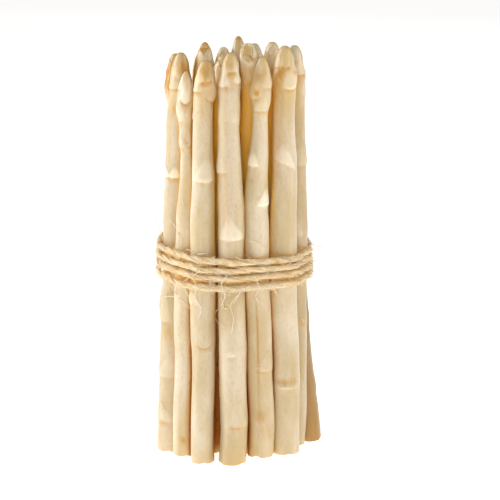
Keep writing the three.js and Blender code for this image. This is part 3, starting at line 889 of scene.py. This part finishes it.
def paint(spear, body):
    """Writes all the values on a straight stem."""
    x, y, down = points_of(body).T
    below, angle = -down, np.arctan2(y, x)
    height = spear.tip - below
    skin = skin_radius(spear, np.maximum(below, 0), angle)
    crease, pale = leaf_values(spear, below, angle)
    bruise_and_shade = bruise_and_shade_values(spear, below, angle, skin)
    # Painted shade: gold where little open sky reaches the skin, turning brown lower down.
    shut, wide, most = INNER_GAP_SHADE if spear.number in INNER else OUTER_GAP_SHADE
    closed = 1 - smooth(open_share(spear, below, angle), shut, wide)
    low = 1 - smooth(height, *LOW)
    # painted shade where the stems lie under the tie
    shade_under_tie = 1 - smooth(np.abs(height - WAIST + TIE_LOWER), *TIE_REACH)
    gap_shade = most * closed * smooth(below, *GAP_SHADE_BELOW)
    gap_shade = np.maximum(gap_shade * (1 - 0.6 * low), TIE_SHADE_GOLD * shade_under_tie)
    # dark brown: the deepest bruises, and painted shade low down in the closed gaps
    rot_and_shade = np.maximum(np.clip(bruise_and_shade - 1, 0, 1), low * closed**2)
    if spear.snapped:
        gap_shade, bruise_and_shade, pale = paint_break(x, y, down, skin, gap_shade, bruise_and_shade, pale)
    head = 1 - smooth(below, *HEAD_TINT)
    foot = smooth(below, spear.length - FOOT_TINT, spear.length)
    # painted shade together with the stem's own darker tone, less of it towards the top of some stems
    tone = spear.tone * (1 - PALER_UP.get(spear.number, 0) * smooth(height, *PALER))
    keep(body, "grain", "FLOAT_VECTOR", np.stack([x, y, down + STEMS_APART * spear.number], -1))
    # painted shade in the gaps and under the leaves, with the bruises and the paler leaves
    keep(body, "wear_and_shade", "FLOAT_COLOR", np.stack([gap_shade, bruise_and_shade, crease, pale], -1))
    keep(body, "zone", "FLOAT_COLOR", np.stack([head, foot, rot_and_shade, tone], -1))


# %% [markdown]
# ## Materials
# Each finish starts from what the real one is. Colours are written as sRGB hex values, as they are
# read off a colour chart, and one function turns them to the linear light that Blender works with. One
# small function adds a node: what it is given by name are its settings, and `inputs` holds a value or
# another node's output for each socket. Three more do what comes back in the finishes: they turn up a
# contrast, change a range, and mix two colours.


# %% Colour and nodes
def colour(code):
    """An sRGB hex value as linear light."""
    channels = [int(code[i : i + 2], 16) / 255 for i in (1, 3, 5)]
    linear = [c / 12.92 if c <= 0.04045 else ((c + 0.055) / 1.055) ** 2.4 for c in channels]
    return (*linear, 1)


def add(tree, kind, inputs=None, **settings):
    node = tree.nodes.new("ShaderNode" + kind)
    for name, value in settings.items():
        setattr(node, name, value)
    for name, value in (inputs or {}).items():
        socket = node.inputs[name]
        if isinstance(value, bpy.types.NodeSocket):
            tree.links.new(value, socket)
        else:
            socket.default_value = value
    return node


def new_material(name, settings):
    """A Principled material with some of its sockets set. Returns it, its node tree and its shader."""
    material = bpy.data.materials.new(name)
    material.use_nodes = True
    tree = material.node_tree
    shader = tree.nodes["Principled BSDF"]
    for socket, value in settings.items():
        shader.inputs[socket].default_value = value
    return material, tree, shader


MIX_A, MIX_B, MIX_OUT = 6, 7, 2  # the colour sockets of a Mix node


def contrast(tree, value, low, high):
    """0 where a value is low or less, 1 where it is high or more, and an even rise between."""
    return add(tree, "MapRange", {"Value": value, "From Min": low, "From Max": high}).outputs[0]


def scaled(tree, value, low, high):
    """A value that runs from 0 to 1, made to run from low to high."""
    return add(tree, "MapRange", {"Value": value, "To Min": low, "To Max": high}).outputs[0]


def mixed(tree, share, first, second):
    """A mix of two colours: at a share of 0 only the first, and at 1 only the second."""
    mix = add(tree, "Mix", {0: share, MIX_A: first, MIX_B: second}, data_type="RGBA")
    return mix.outputs[MIX_OUT]


# %% [markdown]
# The skin of white asparagus is a thin waxy peel over wet, pale flesh. It has never seen the sun, so
# it is ivory and not green. The wax gives it a soft shine, and light goes some millimetres into the
# flesh. Its colour is built up like thin washes of paint: each row of the table below is one wash, with
# the pattern that breaks it up and the painted place that it keeps to. Some washes are painted shade:
# the gold and the deep brown of the gaps, the darker straw of some stems, and part of the lines under
# the leaves and of the marks. The patterns are all one noise, stretched along the stem to real sizes.
# Deep in a gap no light comes to shine on the wax, so the shine ends where the painted shade turns the
# skin gold or brown.

# %% Asparagus skin
IVORY = "#ECE0C9"
SKIN_PATTERNS = {  # width across the stem and length along it in mm, detail, and the noise's low and high
    "clouds": (13, 34, 4, 0.38, 0.62),
    "bands": (4.2, 60, 3, 0.42, 0.62),
    "fibres": (0.9, 13, 4, 0.35, 0.7),
    "specks": (1.1, 2.0, 3, 0.5, 0.72),
    "even": (1, 1, 0, -2, -1),  # 1 everywhere, so that the wash is not broken up
}
SKIN_WASHES = [  # colour, painted place, pattern, and the strength in the pattern's lows and highs
    ("#D5C093", None, "clouds", 0.1, 0.85),
    ("#D0B884", None, "bands", 0.0, 0.18),
    ("#D4B47A", None, "fibres", 0.0, 0.03),
    ("#D5A650", None, "specks", 0.0, 0.3),
    # painted shade on stems that stand in shadow, with a darker straw tone of their own
    ("#8F6A32", "tone", "clouds", 0.7, 1.0),
    ("#E3BD6E", "head", "clouds", 0.05, 0.5),
    ("#DBB566", "foot", "clouds", 0.1, 0.4),
    ("#FFF6E0", "pale", "clouds", 1.0, 0.7),
    # a brown line under each leaf, with painted shade under its foot
    ("#CF9C46", "crease", "specks", 0.9, 1.5),
    # bruises, and the painted shade of some of the marks
    ("#CB9A48", "bruise_and_shade", "clouds", 1.0, 1.9),
    # painted shade: a deep gold in the gaps between the stems and under the tie
    ("#FFC847", "gap_shade", "even", 0.0, 1.0),
    # dark brown: the deepest bruises, and painted shade low down in the gaps
    ("#BC6E1A", "rot_and_shade", "specks", 0.85, 1.1),
]
# The gold of the gaps, the brown low in them and the darker straw of some stems are painted shade, and so
# is part of the lines under the leaves and of the marks.
PAINTED = {"wear_and_shade": ["gap_shade", "bruise_and_shade", "crease", "pale"], "zone": ["head", "foot", "rot_and_shade", "tone"]}
WAX_ROUGH = (0.36, 0.5)  # roughness of the wax in its lows and highs
WAX_SHINE = {"Coat Weight": 0.45, "Specular IOR Level": 0.5}  # on open skin
FLESH_DEPTH = 1.6  # how far red light goes into the flesh


def asparagus_skin():
    """Waxy ivory skin over pale flesh, with the painted places worked in."""
    material, tree, shader = new_material("asparagus_skin", {
        "IOR": 1.45,
        "Coat Roughness": 0.35,
        "Subsurface Weight": 0.45,
        "Subsurface Radius": (1.0, 0.88, 0.5),  # blue light goes the shortest way
        "Subsurface Scale": FLESH_DEPTH * MM,
    })
    grain = add(tree, "Attribute", attribute_name="grain").outputs["Vector"]
    places = {None: 1.0}
    for attribute, names in PAINTED.items():
        painted = add(tree, "Attribute", attribute_name=attribute)
        parts = add(tree, "SeparateColor", {0: painted.outputs["Color"]})
        places |= dict(zip(names, [*parts.outputs, painted.outputs["Alpha"]]))
    patterns = {}
    for name, (across, along, detail, low, high) in SKIN_PATTERNS.items():
        stretched = add(tree, "Mapping", {"Vector": grain, "Scale": (1 / across, 1 / across, 1 / along)})
        noise = add(tree, "TexNoise", {"Vector": stretched.outputs[0], "Scale": 1, "Detail": detail})
        patterns[name] = contrast(tree, noise.outputs["Fac"], low, high)
    base = colour(IVORY)
    for code, place, pattern, low, high in SKIN_WASHES:
        strength = scaled(tree, patterns[pattern], low, high)
        share = add(tree, "Math", {0: strength, 1: places[place]}, operation="MULTIPLY")
        base = mixed(tree, share.outputs[0], base, colour(code))
    tree.links.new(base, shader.inputs["Base Color"])
    tree.links.new(scaled(tree, patterns["clouds"], *WAX_ROUGH), shader.inputs["Roughness"])
    # Fine ribs and pits, a tenth of a millimetre deep.
    lines = add(tree, "Bump", {"Height": patterns["fibres"], "Strength": 0.2, "Distance": 0.1 * MM})
    pits = add(tree, "Bump", {
        "Height": patterns["specks"], "Strength": 0.35, "Distance": 0.08 * MM, "Normal": lines.outputs[0],
    })
    tree.links.new(pits.outputs[0], shader.inputs["Normal"])
    shut = add(tree, "Math", {0: places["gap_shade"], 1: places["rot_and_shade"]}, operation="ADD")
    for socket, shine in WAX_SHINE.items():
        tree.links.new(scaled(tree, shut.outputs[0], shine, 0), shader.inputs[socket])
    return material


# %% [markdown]
# A cut end shows the flesh across its fibres: damp straw-coloured pith, darker dots where the bundles
# of tubes are cut through, and a dry rim.

# %% Cut asparagus flesh
TUBES = 1.6  # distance between two bundles of tubes
PITH_CLOUDS = 2.5  # width of a darker cloud in the pith
PITH_LIGHT, PITH_DARK, TUBE_DOTS = "#E9D9AC", "#D9BE83", "#A9803F"


def cut_flesh():
    """Damp pith with darker dots."""
    material, tree, shader = new_material("cut_asparagus_flesh", {"Roughness": 0.6})
    place = add(tree, "TexCoord").outputs["Object"]
    dots = add(tree, "TexVoronoi", {"Vector": place, "Scale": 1 / (TUBES * MM), "Randomness": 0.8})
    near = contrast(tree, dots.outputs["Distance"], 0.12, 0.3)  # 0 on a dot
    pith = add(tree, "TexNoise", {"Vector": place, "Scale": 1 / (PITH_CLOUDS * MM), "Detail": 4})
    flesh = mixed(tree, pith.outputs["Fac"], colour(PITH_LIGHT), colour(PITH_DARK))
    tree.links.new(mixed(tree, near, colour(TUBE_DOTS), flesh), shader.inputs["Base Color"])
    bump = add(tree, "Bump", {"Height": near, "Strength": 0.6, "Distance": 0.2 * MM})
    tree.links.new(bump.outputs[0], shader.inputs["Normal"])
    return material


SKIN = asparagus_skin()
CUT = cut_flesh()
print("materials:", SKIN.name, CUT.name)

# %% [markdown]
# ## All the stems
# Each stem gets its two materials before the leaves are united with it, and the cut end is found by its
# place. The stem then takes the place of its solid, which is hidden, and belongs to the one body of the
# bundle.

# %% Build them
SHARPEST = math.radians(40)  # a sharper edge than this stays an edge


def dressed_stem(spear):
    """The finished stem, in its place."""
    body = straight_stem(spear)
    body.data.materials.append(SKIN)
    body.data.materials.append(CUT)
    cut = [f.normal.z < -0.8 and f.center.z < 3 - spear.length for f in body.data.polygons]  # facing down
    body.data.polygons.foreach_set("material_index", cut)
    unite(body, [wrapped_leaf(spear, leaf, spear.name + "_leaf") for leaf in spear.scale_leaves])
    paint(spear, body)
    bend(spear, body)
    only(body)
    bpy.ops.object.shade_smooth_by_angle(angle=SHARPEST)
    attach(body, "root")
    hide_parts(spear.name)
    return body


for spear in SPEARS:
    spear.tone = SHADED.get(spear.number, SHADED_MOST * spear.chance.random())
    spear.body = dressed_stem(spear)
remove(STEM, BROKEN_STEM, LEAF)
print("dressed stems with", sum(len(s.body.data.polygons) for s in SPEARS), "faces")

# %% [markdown]
# ## The twine
# Jute twine is three loose yarns twisted round each other. It goes round the bundle four times as a
# tight loop does: straight from stem to stem, and round the outside of each stem that it touches. So
# its line is found by asking, for each direction, which stem reaches out furthest. At the back the two
# ends are tied in a flat knot. Its line is one list of points, loops included.

# %% The line of the twine
TWINE = 3.1  # diameter
PITCH = 4.1  # from one turn to the next one down, in front
TURNS = 4
TIE_SAG = 1.2  # how much lower the tie lies in front than at the sides
LOOSE_LEFT = 0.14  # how much further apart the turns are in front on the left
SET_BY = [0.0, 0.1, 0.6, -0.2]  # how far each turn lies above its even place in front
FREE = 0.07  # the turns start and end this share of a turn from the back
TIE_OFF = TWINE / 2 + 0.3  # from a stem to the middle of the twine
KNOT_OUT = 2.1  # how far the knot stands off the loop behind it, in twine diameters
TAIL = 16  # length of each free end past the knot
TAIL_WAY = (-0.75, -0.1, -0.62)  # and where it points
YARN_STEP = 0.8  # distance between two points of a yarn
TURN_POINTS = 600  # points of one turn, before the line is evened

# Half of the knot, in twine diameters: across, outwards and up. The other half is upside down.
HALF_KNOT = [
    (-3.2, -0.3, 1.5), (-1.9, -0.5, 0.75), (-0.9, 0.1, 0.8), (0, 0.5, 1.0), (1.2, 0, 1.35),
    (2.0, -0.45, 0.85), (2.45, 0, 0), (2.0, 0.45, -0.85), (1.2, 0, -1.35), (0, -0.5, -1.0),
    (-0.9, 0, -0.8), (-1.9, 0.5, -0.8), (-3.0, 0.3, -1.5),
]


def taut(angle, z, off):
    """Points of a tight loop round all the stems, at angles and heights, `off` away from the stems."""
    middles = np.stack([s.middle(z) for s in SPEARS])
    radii = np.stack([s.radius(s.tip - z) for s in SPEARS])
    reach = (middles * toward(angle)).sum(-1) + radii
    first = reach.argmax(0)
    each = np.arange(len(z))
    flat = middles[first, each] + toward(angle) * (radii[first, each] + off)[:, None]
    return np.column_stack([flat, z])


def turns_line():
    """The four turns, which start and end at the back and stray a little up and down on their way."""
    turns = np.linspace(FREE, TURNS - FREE, TURNS * TURN_POINTS)
    angle = math.tau * turns
    front = (1 - np.cos(angle)) / 2  # 1 in front and 0 at the back
    spread = PITCH * (1 + LOOSE_LEFT * np.maximum(np.sin(angle - math.pi / 4), 0))
    wander = 0.3 * np.sin(3.1 * angle + 1) + 0.22 * np.sin(7.3 * angle) + 0.12 * np.sin(17.7 * angle)
    own = np.array(SET_BY)[turns.astype(int)] * front**2
    z = WAIST + (TURNS / 2 - turns) * spread - TIE_SAG * front + wander * smooth(front, 0, 0.4) + own
    return taut(math.pi / 2 + angle, z, TIE_OFF)


def half_knot(side, knot):
    """One half of the knot with its free end. `side` is 1 or -1."""
    points = np.array(HALF_KNOT) * [side, 1, side] * TWINE + knot
    tail = np.array(TAIL_WAY) * [side, 1, side]
    tail *= TAIL / np.linalg.norm(tail)
    return np.vstack([points, points[-1] + 0.45 * tail, points[-1] + tail])


# %% Even and smooth lines
def spaced(points, step):
    """The same line with its points one step apart."""
    run = np.concatenate([[0], np.linalg.norm(np.diff(points, axis=0), axis=1).cumsum()])
    at = np.linspace(0, run[-1], max(2, round(run[-1] / step)))
    return np.stack([np.interp(at, run, line) for line in points.T], -1)


def rounded(points, window, times):
    """The same line with its corners rounded."""
    for _ in range(times):
        padded = np.pad(points, ((window // 2, window // 2), (0, 0)), mode="reflect", reflect_type="odd")
        kernel = np.ones(window) / window
        points = np.stack([np.convolve(line, kernel, mode="valid") for line in padded.T], -1)
    return points


def twine_line():
    """The whole line, with its corners rounded over some millimetres."""
    back = taut(np.array([math.pi / 2]), np.array([WAIST]), TIE_OFF)[0]
    knot = back + [0, KNOT_OUT * TWINE, 0]
    line = np.vstack([half_knot(1, knot)[::-1], turns_line(), half_knot(-1, knot)])
    return spaced(rounded(spaced(line, 0.4), 7, 4), YARN_STEP)


LINE = twine_line()
TWINE_LENGTH = np.linalg.norm(np.diff(LINE, axis=0), axis=1).sum()
print(f"the twine is {TWINE_LENGTH:.0f} mm long")

# %% [markdown]
# Three yarns lie side by side round that line and turn with it once in 21 mm. A frame of two directions
# is carried along the line without spinning, and each yarn keeps its own angle in it. Each yarn is a
# curve with a round section that is thicker in some places than in others, made a mesh at the end.

# %% Frames and tubes
def frames(line):
    """Two directions across a line at each of its points, carried along without spinning."""
    ahead = np.gradient(line, axis=0)
    ahead /= np.linalg.norm(ahead, axis=1)[:, None]
    side = np.cross(ahead[0], [0, 0, 1.0])
    sides = []
    for direction in ahead:
        side = side - direction * side.dot(direction)
        side /= np.linalg.norm(side)
        sides.append(side)
    sides = np.array(sides)
    return sides, np.cross(ahead, sides)


def tubes(name, lines, radii, roundness):
    """Closed tubes along lines, as one mesh. `radii` holds a radius for each point, in millimetres."""
    bpy.ops.curve.primitive_nurbs_path_add()
    obj = bpy.context.object
    obj.name = name
    curve = obj.data
    curve.splines.clear()
    for line, radius in zip(lines, radii):
        spline = curve.splines.new("POLY")
        spline.points.add(len(line) - 1)
        spline.points.foreach_set("co", np.column_stack([line * MM, np.ones(len(line))]).ravel())
        spline.points.foreach_set("radius", radius)
    curve.dimensions = "3D"
    curve.bevel_depth = MM
    curve.bevel_resolution = roundness
    curve.use_fill_caps = True
    only(obj)
    bpy.ops.object.convert(target="MESH")
    bpy.ops.object.shade_smooth()
    return obj


# %% [markdown]
# A yarn is a soft bunch of long jute fibres, dull and a little hairy, from pale straw to light brown.
# The fibres of a yarn lie at a slant to it, because it is spun. Their pattern is drawn on a value kept
# on each yarn: the place round it and along it, in millimetres, with the slant worked in. The grooves
# between the fibres are painted a deeper straw: painted shade, where light is caught in them.

# %% Jute
FIBRE = 0.22  # width of a fibre bundle; single fibres are ten times finer and wouldn't show
FIBRE_LONG = 7
PATCH = 9  # width of a paler or darker patch of yarn
# painted shade in the grooves between the fibres
GROOVE_SHADE = "#E2AE5A"


def jute(name, light, dark):
    """Jute whose fibres run from a light to a dark colour."""
    material, tree, shader = new_material(name, {"Roughness": 0.85, "Sheen Weight": 0.25})
    lay = add(tree, "Attribute", attribute_name="lay").outputs["Vector"]
    mapped = add(tree, "Mapping", {"Vector": lay, "Scale": (1, 1, FIBRE / FIBRE_LONG)})
    fibres = add(tree, "TexNoise", {
        "Vector": mapped.outputs[0], "Scale": 1 / FIBRE, "Detail": 3, "Roughness": 0.7,
    }).outputs["Fac"]
    patches = add(tree, "TexNoise", {"Vector": lay, "Scale": 1 / PATCH, "Detail": 3}).outputs["Fac"]
    groove_shade_share = contrast(tree, fibres, 0.34, 0.54)
    patch = contrast(tree, patches, 0.4, 0.65)
    tint = mixed(tree, patch, colour(light), colour(dark))
    tree.links.new(mixed(tree, groove_shade_share, colour(GROOVE_SHADE), tint), shader.inputs["Base Color"])
    bump = add(tree, "Bump", {"Height": fibres, "Strength": 0.7, "Distance": 0.25 * MM})
    tree.links.new(bump.outputs[0], shader.inputs["Normal"])
    return material


JUTE = jute("jute_yarn", "#FEF5DA", "#F4D79C")
LOOSE_JUTE = jute("loose_jute_fibre", "#FFFEEE", "#FFEEC4")
PALE_JUTE = jute("pale_jute_fibre", "#FFFCF0", "#FFF6DC")
print("materials:", JUTE.name, LOOSE_JUTE.name, PALE_JUTE.name)

# %% Lay the yarns
YARNS = 3
YARN_RADIUS = 0.86
YARN_OFF = 0.62  # from the middle of the twine to the middle of a yarn
YARN_TURN = 21.0  # length in which a yarn goes once round
YARN_SIDES = 8
FRAYED = 6.0  # length over which the yarns come apart at the two ends
FIBRE_SLANT = 0.6  # turn of the fibres round a yarn, for each millimetre along it
YARNS_APART = 20  # keeps the pattern of one yarn away from the next one's


def lay_yarns():
    """Three uneven yarns twisted round the line of the twine, in one mesh."""
    chance = np.random.default_rng(7)
    sides, ups = frames(LINE)
    run = np.arange(len(LINE)) * YARN_STEP
    from_end = np.minimum(run, run[-1] - run)
    fray = 1 - smooth(from_end, 0, FRAYED)
    lines, radii = [], []
    for k in range(YARNS):
        angle = math.tau * (run / YARN_TURN + k / YARNS) + 0.5 * np.sin(run / 23 + 2 * k)
        off = YARN_OFF * (1 + 1.1 * fray + 0.25 * np.sin(run / 6.1 + 2 * k))
        lines.append(LINE + sides * (off * np.cos(angle))[:, None] + ups * (off * np.sin(angle))[:, None])
        uneven = np.interp(run, run[::6], chance.normal(0, 0.11, len(run[::6])))
        radii.append(YARN_RADIUS * (1 + uneven) * (1 - 0.55 * fray))
    obj = tubes("twine_yarns", lines, radii, YARN_SIDES // 2 - 2)
    points = np.arange(len(obj.data.vertices))
    rings = points // YARN_SIDES
    along = (rings % len(LINE)) * YARN_STEP
    around = points % YARN_SIDES * math.tau / YARN_SIDES + along * FIBRE_SLANT
    apart = rings // len(LINE) * YARNS_APART
    lay = np.stack([YARN_RADIUS * np.cos(around), YARN_RADIUS * np.sin(around) + apart, along], -1)
    keep(obj, "lay", "FLOAT_VECTOR", lay)
    obj.data.materials.append(JUTE)
    return obj


yarns = lay_yarns()
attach(yarns, "root")
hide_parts("twine")
print("twine with", len(yarns.data.polygons), "faces")

# %% [markdown]
# Jute is hairy. Short fibres stand off the twine all over, longer ones lie along it with their ends
# worked loose, and some have come away and hang over the stems in front. Each is a thin tube, thicker
# than the real fibre so that it still shows. The hanging ones follow listed points, as left-right place
# and height, just in front of the stems.

# %% Loose fibres
LAID_FIBRES = 560  # fibres that lie along the twine and have only half worked loose
LAID_OFF = 1.42  # the least distance of one from the middle of the twine
SHORT_FIBRES = 800
SHORT_OFF = 1.2  # how far from the middle of the twine one starts
FIBRE_RADIUS = 0.09
LONG_RADIUS = 0.23
LONG_OFF = 1.5  # how far the hanging fibres are in front of the stems
TIE_UNDER, TIE_OVER = (88, 92), (107, 111)  # heights between which they pass in front of the tie
LONG_FIBRES = [
    [(-19.3, 103.2), (-23.7, 99.1), (-28.5, 94.2), (-31.4, 96.0), (-32.3, 89.3)],
    [(-13.1, 103.2), (-15.0, 98.2), (-13.5, 92.2)],
    [(-28.5, 94.2), (-27.0, 89.2), (-23.2, 83.2)],
    [(-34.2, 95.2), (-33.7, 91.2), (-30.9, 88.3), (-32.3, 87.3)],
    [(-39.0, 82.7), (-35.2, 84.2), (-30.4, 85.2), (-24.6, 80.7)],
    [(3.3, 95.7), (-1.6, 89.3), (-4.9, 85.2), (-2.6, 78.3), (-3.9, 70.3)],
    [(0.4, 92.9), (-1.0, 88.5), (-3.1, 85.7)],
    [(-6.3, 83.2), (-12.1, 79.8), (-12.6, 75.3), (-9.2, 70.8)],
    [(5.2, 117.1), (8.6, 117.1), (12.8, 113.1)],
    [(-29.4, 108.3), (-26.0, 112.1), (-22.5, 110.5)],
    [(-35.1, 123.7), (-30.6, 119.9), (-30.1, 115.2)],
    [(-20.9, 110.4), (-15.1, 111.4), (-11.6, 108.6)],
    [(-9.1, 88.5), (-7.4, 83.0), (-11.0, 78.6), (-8.2, 73.0)],
    [(14.0, 94.0), (17.5, 91.5), (19.0, 87.5)],
    [(-2.0, 110.0), (2.6, 107.5), (7.7, 108.5)],
    [(24.0, 104.0), (28.5, 108.0), (31.0, 106.5)],
    [(-36.5, 105.0), (-33.0, 98.5), (-36.0, 91.0), (-31.5, 86.5)],
    [(-25.5, 101.0), (-21.0, 95.5), (-22.5, 88.0), (-18.5, 82.5), (-20.5, 77.5)],
    [(-6.0, 101.5), (-9.5, 96.0), (-6.5, 90.5), (-9.0, 84.0)],
    [(8.0, 99.5), (10.5, 94.0), (7.5, 89.0), (9.5, 85.5)],
    [(-38.5, 112.0), (-42.5, 115.5), (-43.5, 121.0)],
    [(36.0, 108.0), (40.5, 104.5), (43.5, 106.0)],
]


def laid_fibres(chance):
    """Lines of fibres that follow a stretch of the twine and stand off it towards their ends."""
    sides, ups = frames(LINE)
    lines = []
    for _ in range(LAID_FIBRES):
        count = chance.integers(12, 44)
        at = chance.integers(0, len(LINE) - count) + np.arange(count)
        share = np.linspace(-1, 1, count)
        angle = math.tau * (at * YARN_STEP / YARN_TURN * chance.uniform(0.3, 1.2) + chance.random())
        off = LAID_OFF + 0.3 * chance.random() + chance.gamma(1.5, 0.5) * np.abs(share) ** 3
        out = sides[at] * np.cos(angle)[:, None] + ups[at] * np.sin(angle)[:, None]
        lines.append(LINE[at] + out * off[:, None])
    return lines


def short_fibres(chance):
    """Lines of short fibres that start inside the twine, lean along it and curl."""
    sides, ups = frames(LINE)
    lines = []
    for _ in range(SHORT_FIBRES):
        at = chance.integers(2, len(LINE) - 2)
        turn = chance.uniform(0, math.tau)
        out = sides[at] * math.cos(turn) + ups[at] * math.sin(turn)
        along = (LINE[at + 1] - LINE[at]) / YARN_STEP * chance.choice([-1, 1])
        length = chance.gamma(2.0, 1.5)
        droop = chance.normal(0, 0.45, 3)
        share = np.linspace(0, 1, 7)[:, None]
        lean = chance.uniform(0.3, 2.2)
        path = out * share + along * lean * share + droop * np.sin(2.2 * share**1.5)
        lines.append(LINE[at] + out * SHORT_OFF + path * length / (1 + lean))
    return lines


def front_of(x, z):
    """How far to the front the stems reach at a left-right place and height."""
    reach = []
    for spear in SPEARS:
        middle = spear.middle(z)
        across = (x - middle[0]) / spear.radius(spear.tip - z)
        if abs(across) < 1:
            reach.append(middle[1] - spear.radius(spear.tip - z) * math.sqrt(1 - across**2))
    return min(reach) if reach else 0


def long_fibres():
    """Lines of the hanging fibres, which pass in front of the tie too."""
    lines = []
    for points in LONG_FIBRES:
        flat = rounded(spaced(np.array(points), 0.8), 5, 2)
        line = np.array([(x, front_of(x, z), z) for x, z in flat])
        line[:, 1] = rounded(line[:, 1:2], 7, 2)[:, 0] - LONG_OFF
        over_tie = smooth(line[:, 2], *TIE_UNDER) * (1 - smooth(line[:, 2], *TIE_OVER))
        line[:, 1] -= over_tie * (TIE_OFF + TWINE / 2)
        lines.append(line)
    return lines


def loose_fibres(name, lines, radius, material):
    """Makes one piece of many fibres."""
    fibres = tubes(name, lines, [np.full(len(line), radius) for line in lines], 0)
    keep(fibres, "lay", "FLOAT_VECTOR", points_of(fibres) / MM)
    fibres.data.materials.append(material)
    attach(fibres, "root")
    print(name, "with", len(fibres.data.polygons), "faces")


chance = np.random.default_rng(21)
loose_fibres("short_fibres", short_fibres(chance) + laid_fibres(chance), FIBRE_RADIUS, LOOSE_JUTE)
loose_fibres("long_fibres", long_fibres(), LONG_RADIUS, PALE_JUTE)

# %% [markdown]
# ## Floor, light and camera
# The bundle stands on a plain pale floor, which is large enough to fill the view and shines a little of
# its own, as a lit table does. A strong soft light on the left gives each stem its bright left edge,
# and a weaker one on the right lights the other edge. A third, near the camera, reaches into the gaps
# between the stems, and two weak ones light the back and the tips. A faint surrounding fills the rest.

# %% Floor
FLOOR = 30.0  # metres
FLOOR_PAINT = {
    "Base Color": colour("#F4F3F0"),
    "Roughness": 0.9,
    "Emission Color": (1, 1, 1, 1),
    "Emission Strength": 0.82,
}

bpy.ops.mesh.primitive_plane_add(size=FLOOR, location=(0, 0, 0))
floor = bpy.context.object
floor.name = "floor"
floor.data.materials.append(new_material("matt_floor_paint", FLOOR_PAINT)[0])

# %% Light
AIM = Vector((5.38, -4.12, 103.3)) * MM  # what the lights and the camera point at


def softbox(name, azimuth, elevation, distance, size, watts, tint):
    """A square soft light, at an azimuth counted from the front to the right. Sizes are in metres."""
    flat, up = math.radians(azimuth - 90), math.radians(elevation)
    way = Vector((math.cos(flat) * math.cos(up), math.sin(flat) * math.cos(up), math.sin(up)))
    turn = way.to_track_quat("Z", "Y").to_euler()
    bpy.ops.object.light_add(type="AREA", location=AIM + way * distance, rotation=turn)
    lamp = bpy.context.object
    lamp.name = name
    lamp.data.size = size
    lamp.data.energy = watts
    lamp.data.color = colour(tint)[:3]


softbox("left_softbox", -94, 24, 1.1, 0.5, 8.7, "#FAFAFC")
softbox("right_softbox", 78, 24, 1.1, 0.5, 4.0, "#FFF8EC")
softbox("front_softbox", -4, 14, 1.3, 0.4, 2.9, "#FFF6E8")
softbox("back_softbox", 170, 25, 1.3, 0.6, 1.5, "#FFF6E8")
softbox("top_softbox", 0, 72, 1.3, 0.6, 2.5, "#FFFFFF")

world = bpy.data.worlds.new("studio")
bpy.context.scene.world = world
world.use_nodes = True
surrounding = world.node_tree.nodes["Background"].inputs
surrounding["Color"].default_value = colour("#FFF8EC")
surrounding["Strength"].default_value = 0.09
bpy.context.scene.view_settings.view_transform = "Standard"

# %% Camera
VIEW_DOWN = math.radians(15)
VIEW_FROM = 1.1  # metres
LENS = 153.94  # focal length, which sets how large the bundle is in the view
SENSOR = 36

back = Vector((0, -math.cos(VIEW_DOWN), math.sin(VIEW_DOWN)))
bpy.ops.object.camera_add(location=AIM + VIEW_FROM * back, rotation=(math.pi / 2 - VIEW_DOWN, 0, 0))
camera = bpy.context.object
camera.data.lens = LENS
camera.data.sensor_width = SENSOR
bpy.context.scene.camera = camera
print(f"camera {VIEW_FROM} m away, looking {math.degrees(VIEW_DOWN):.0f} degrees down")
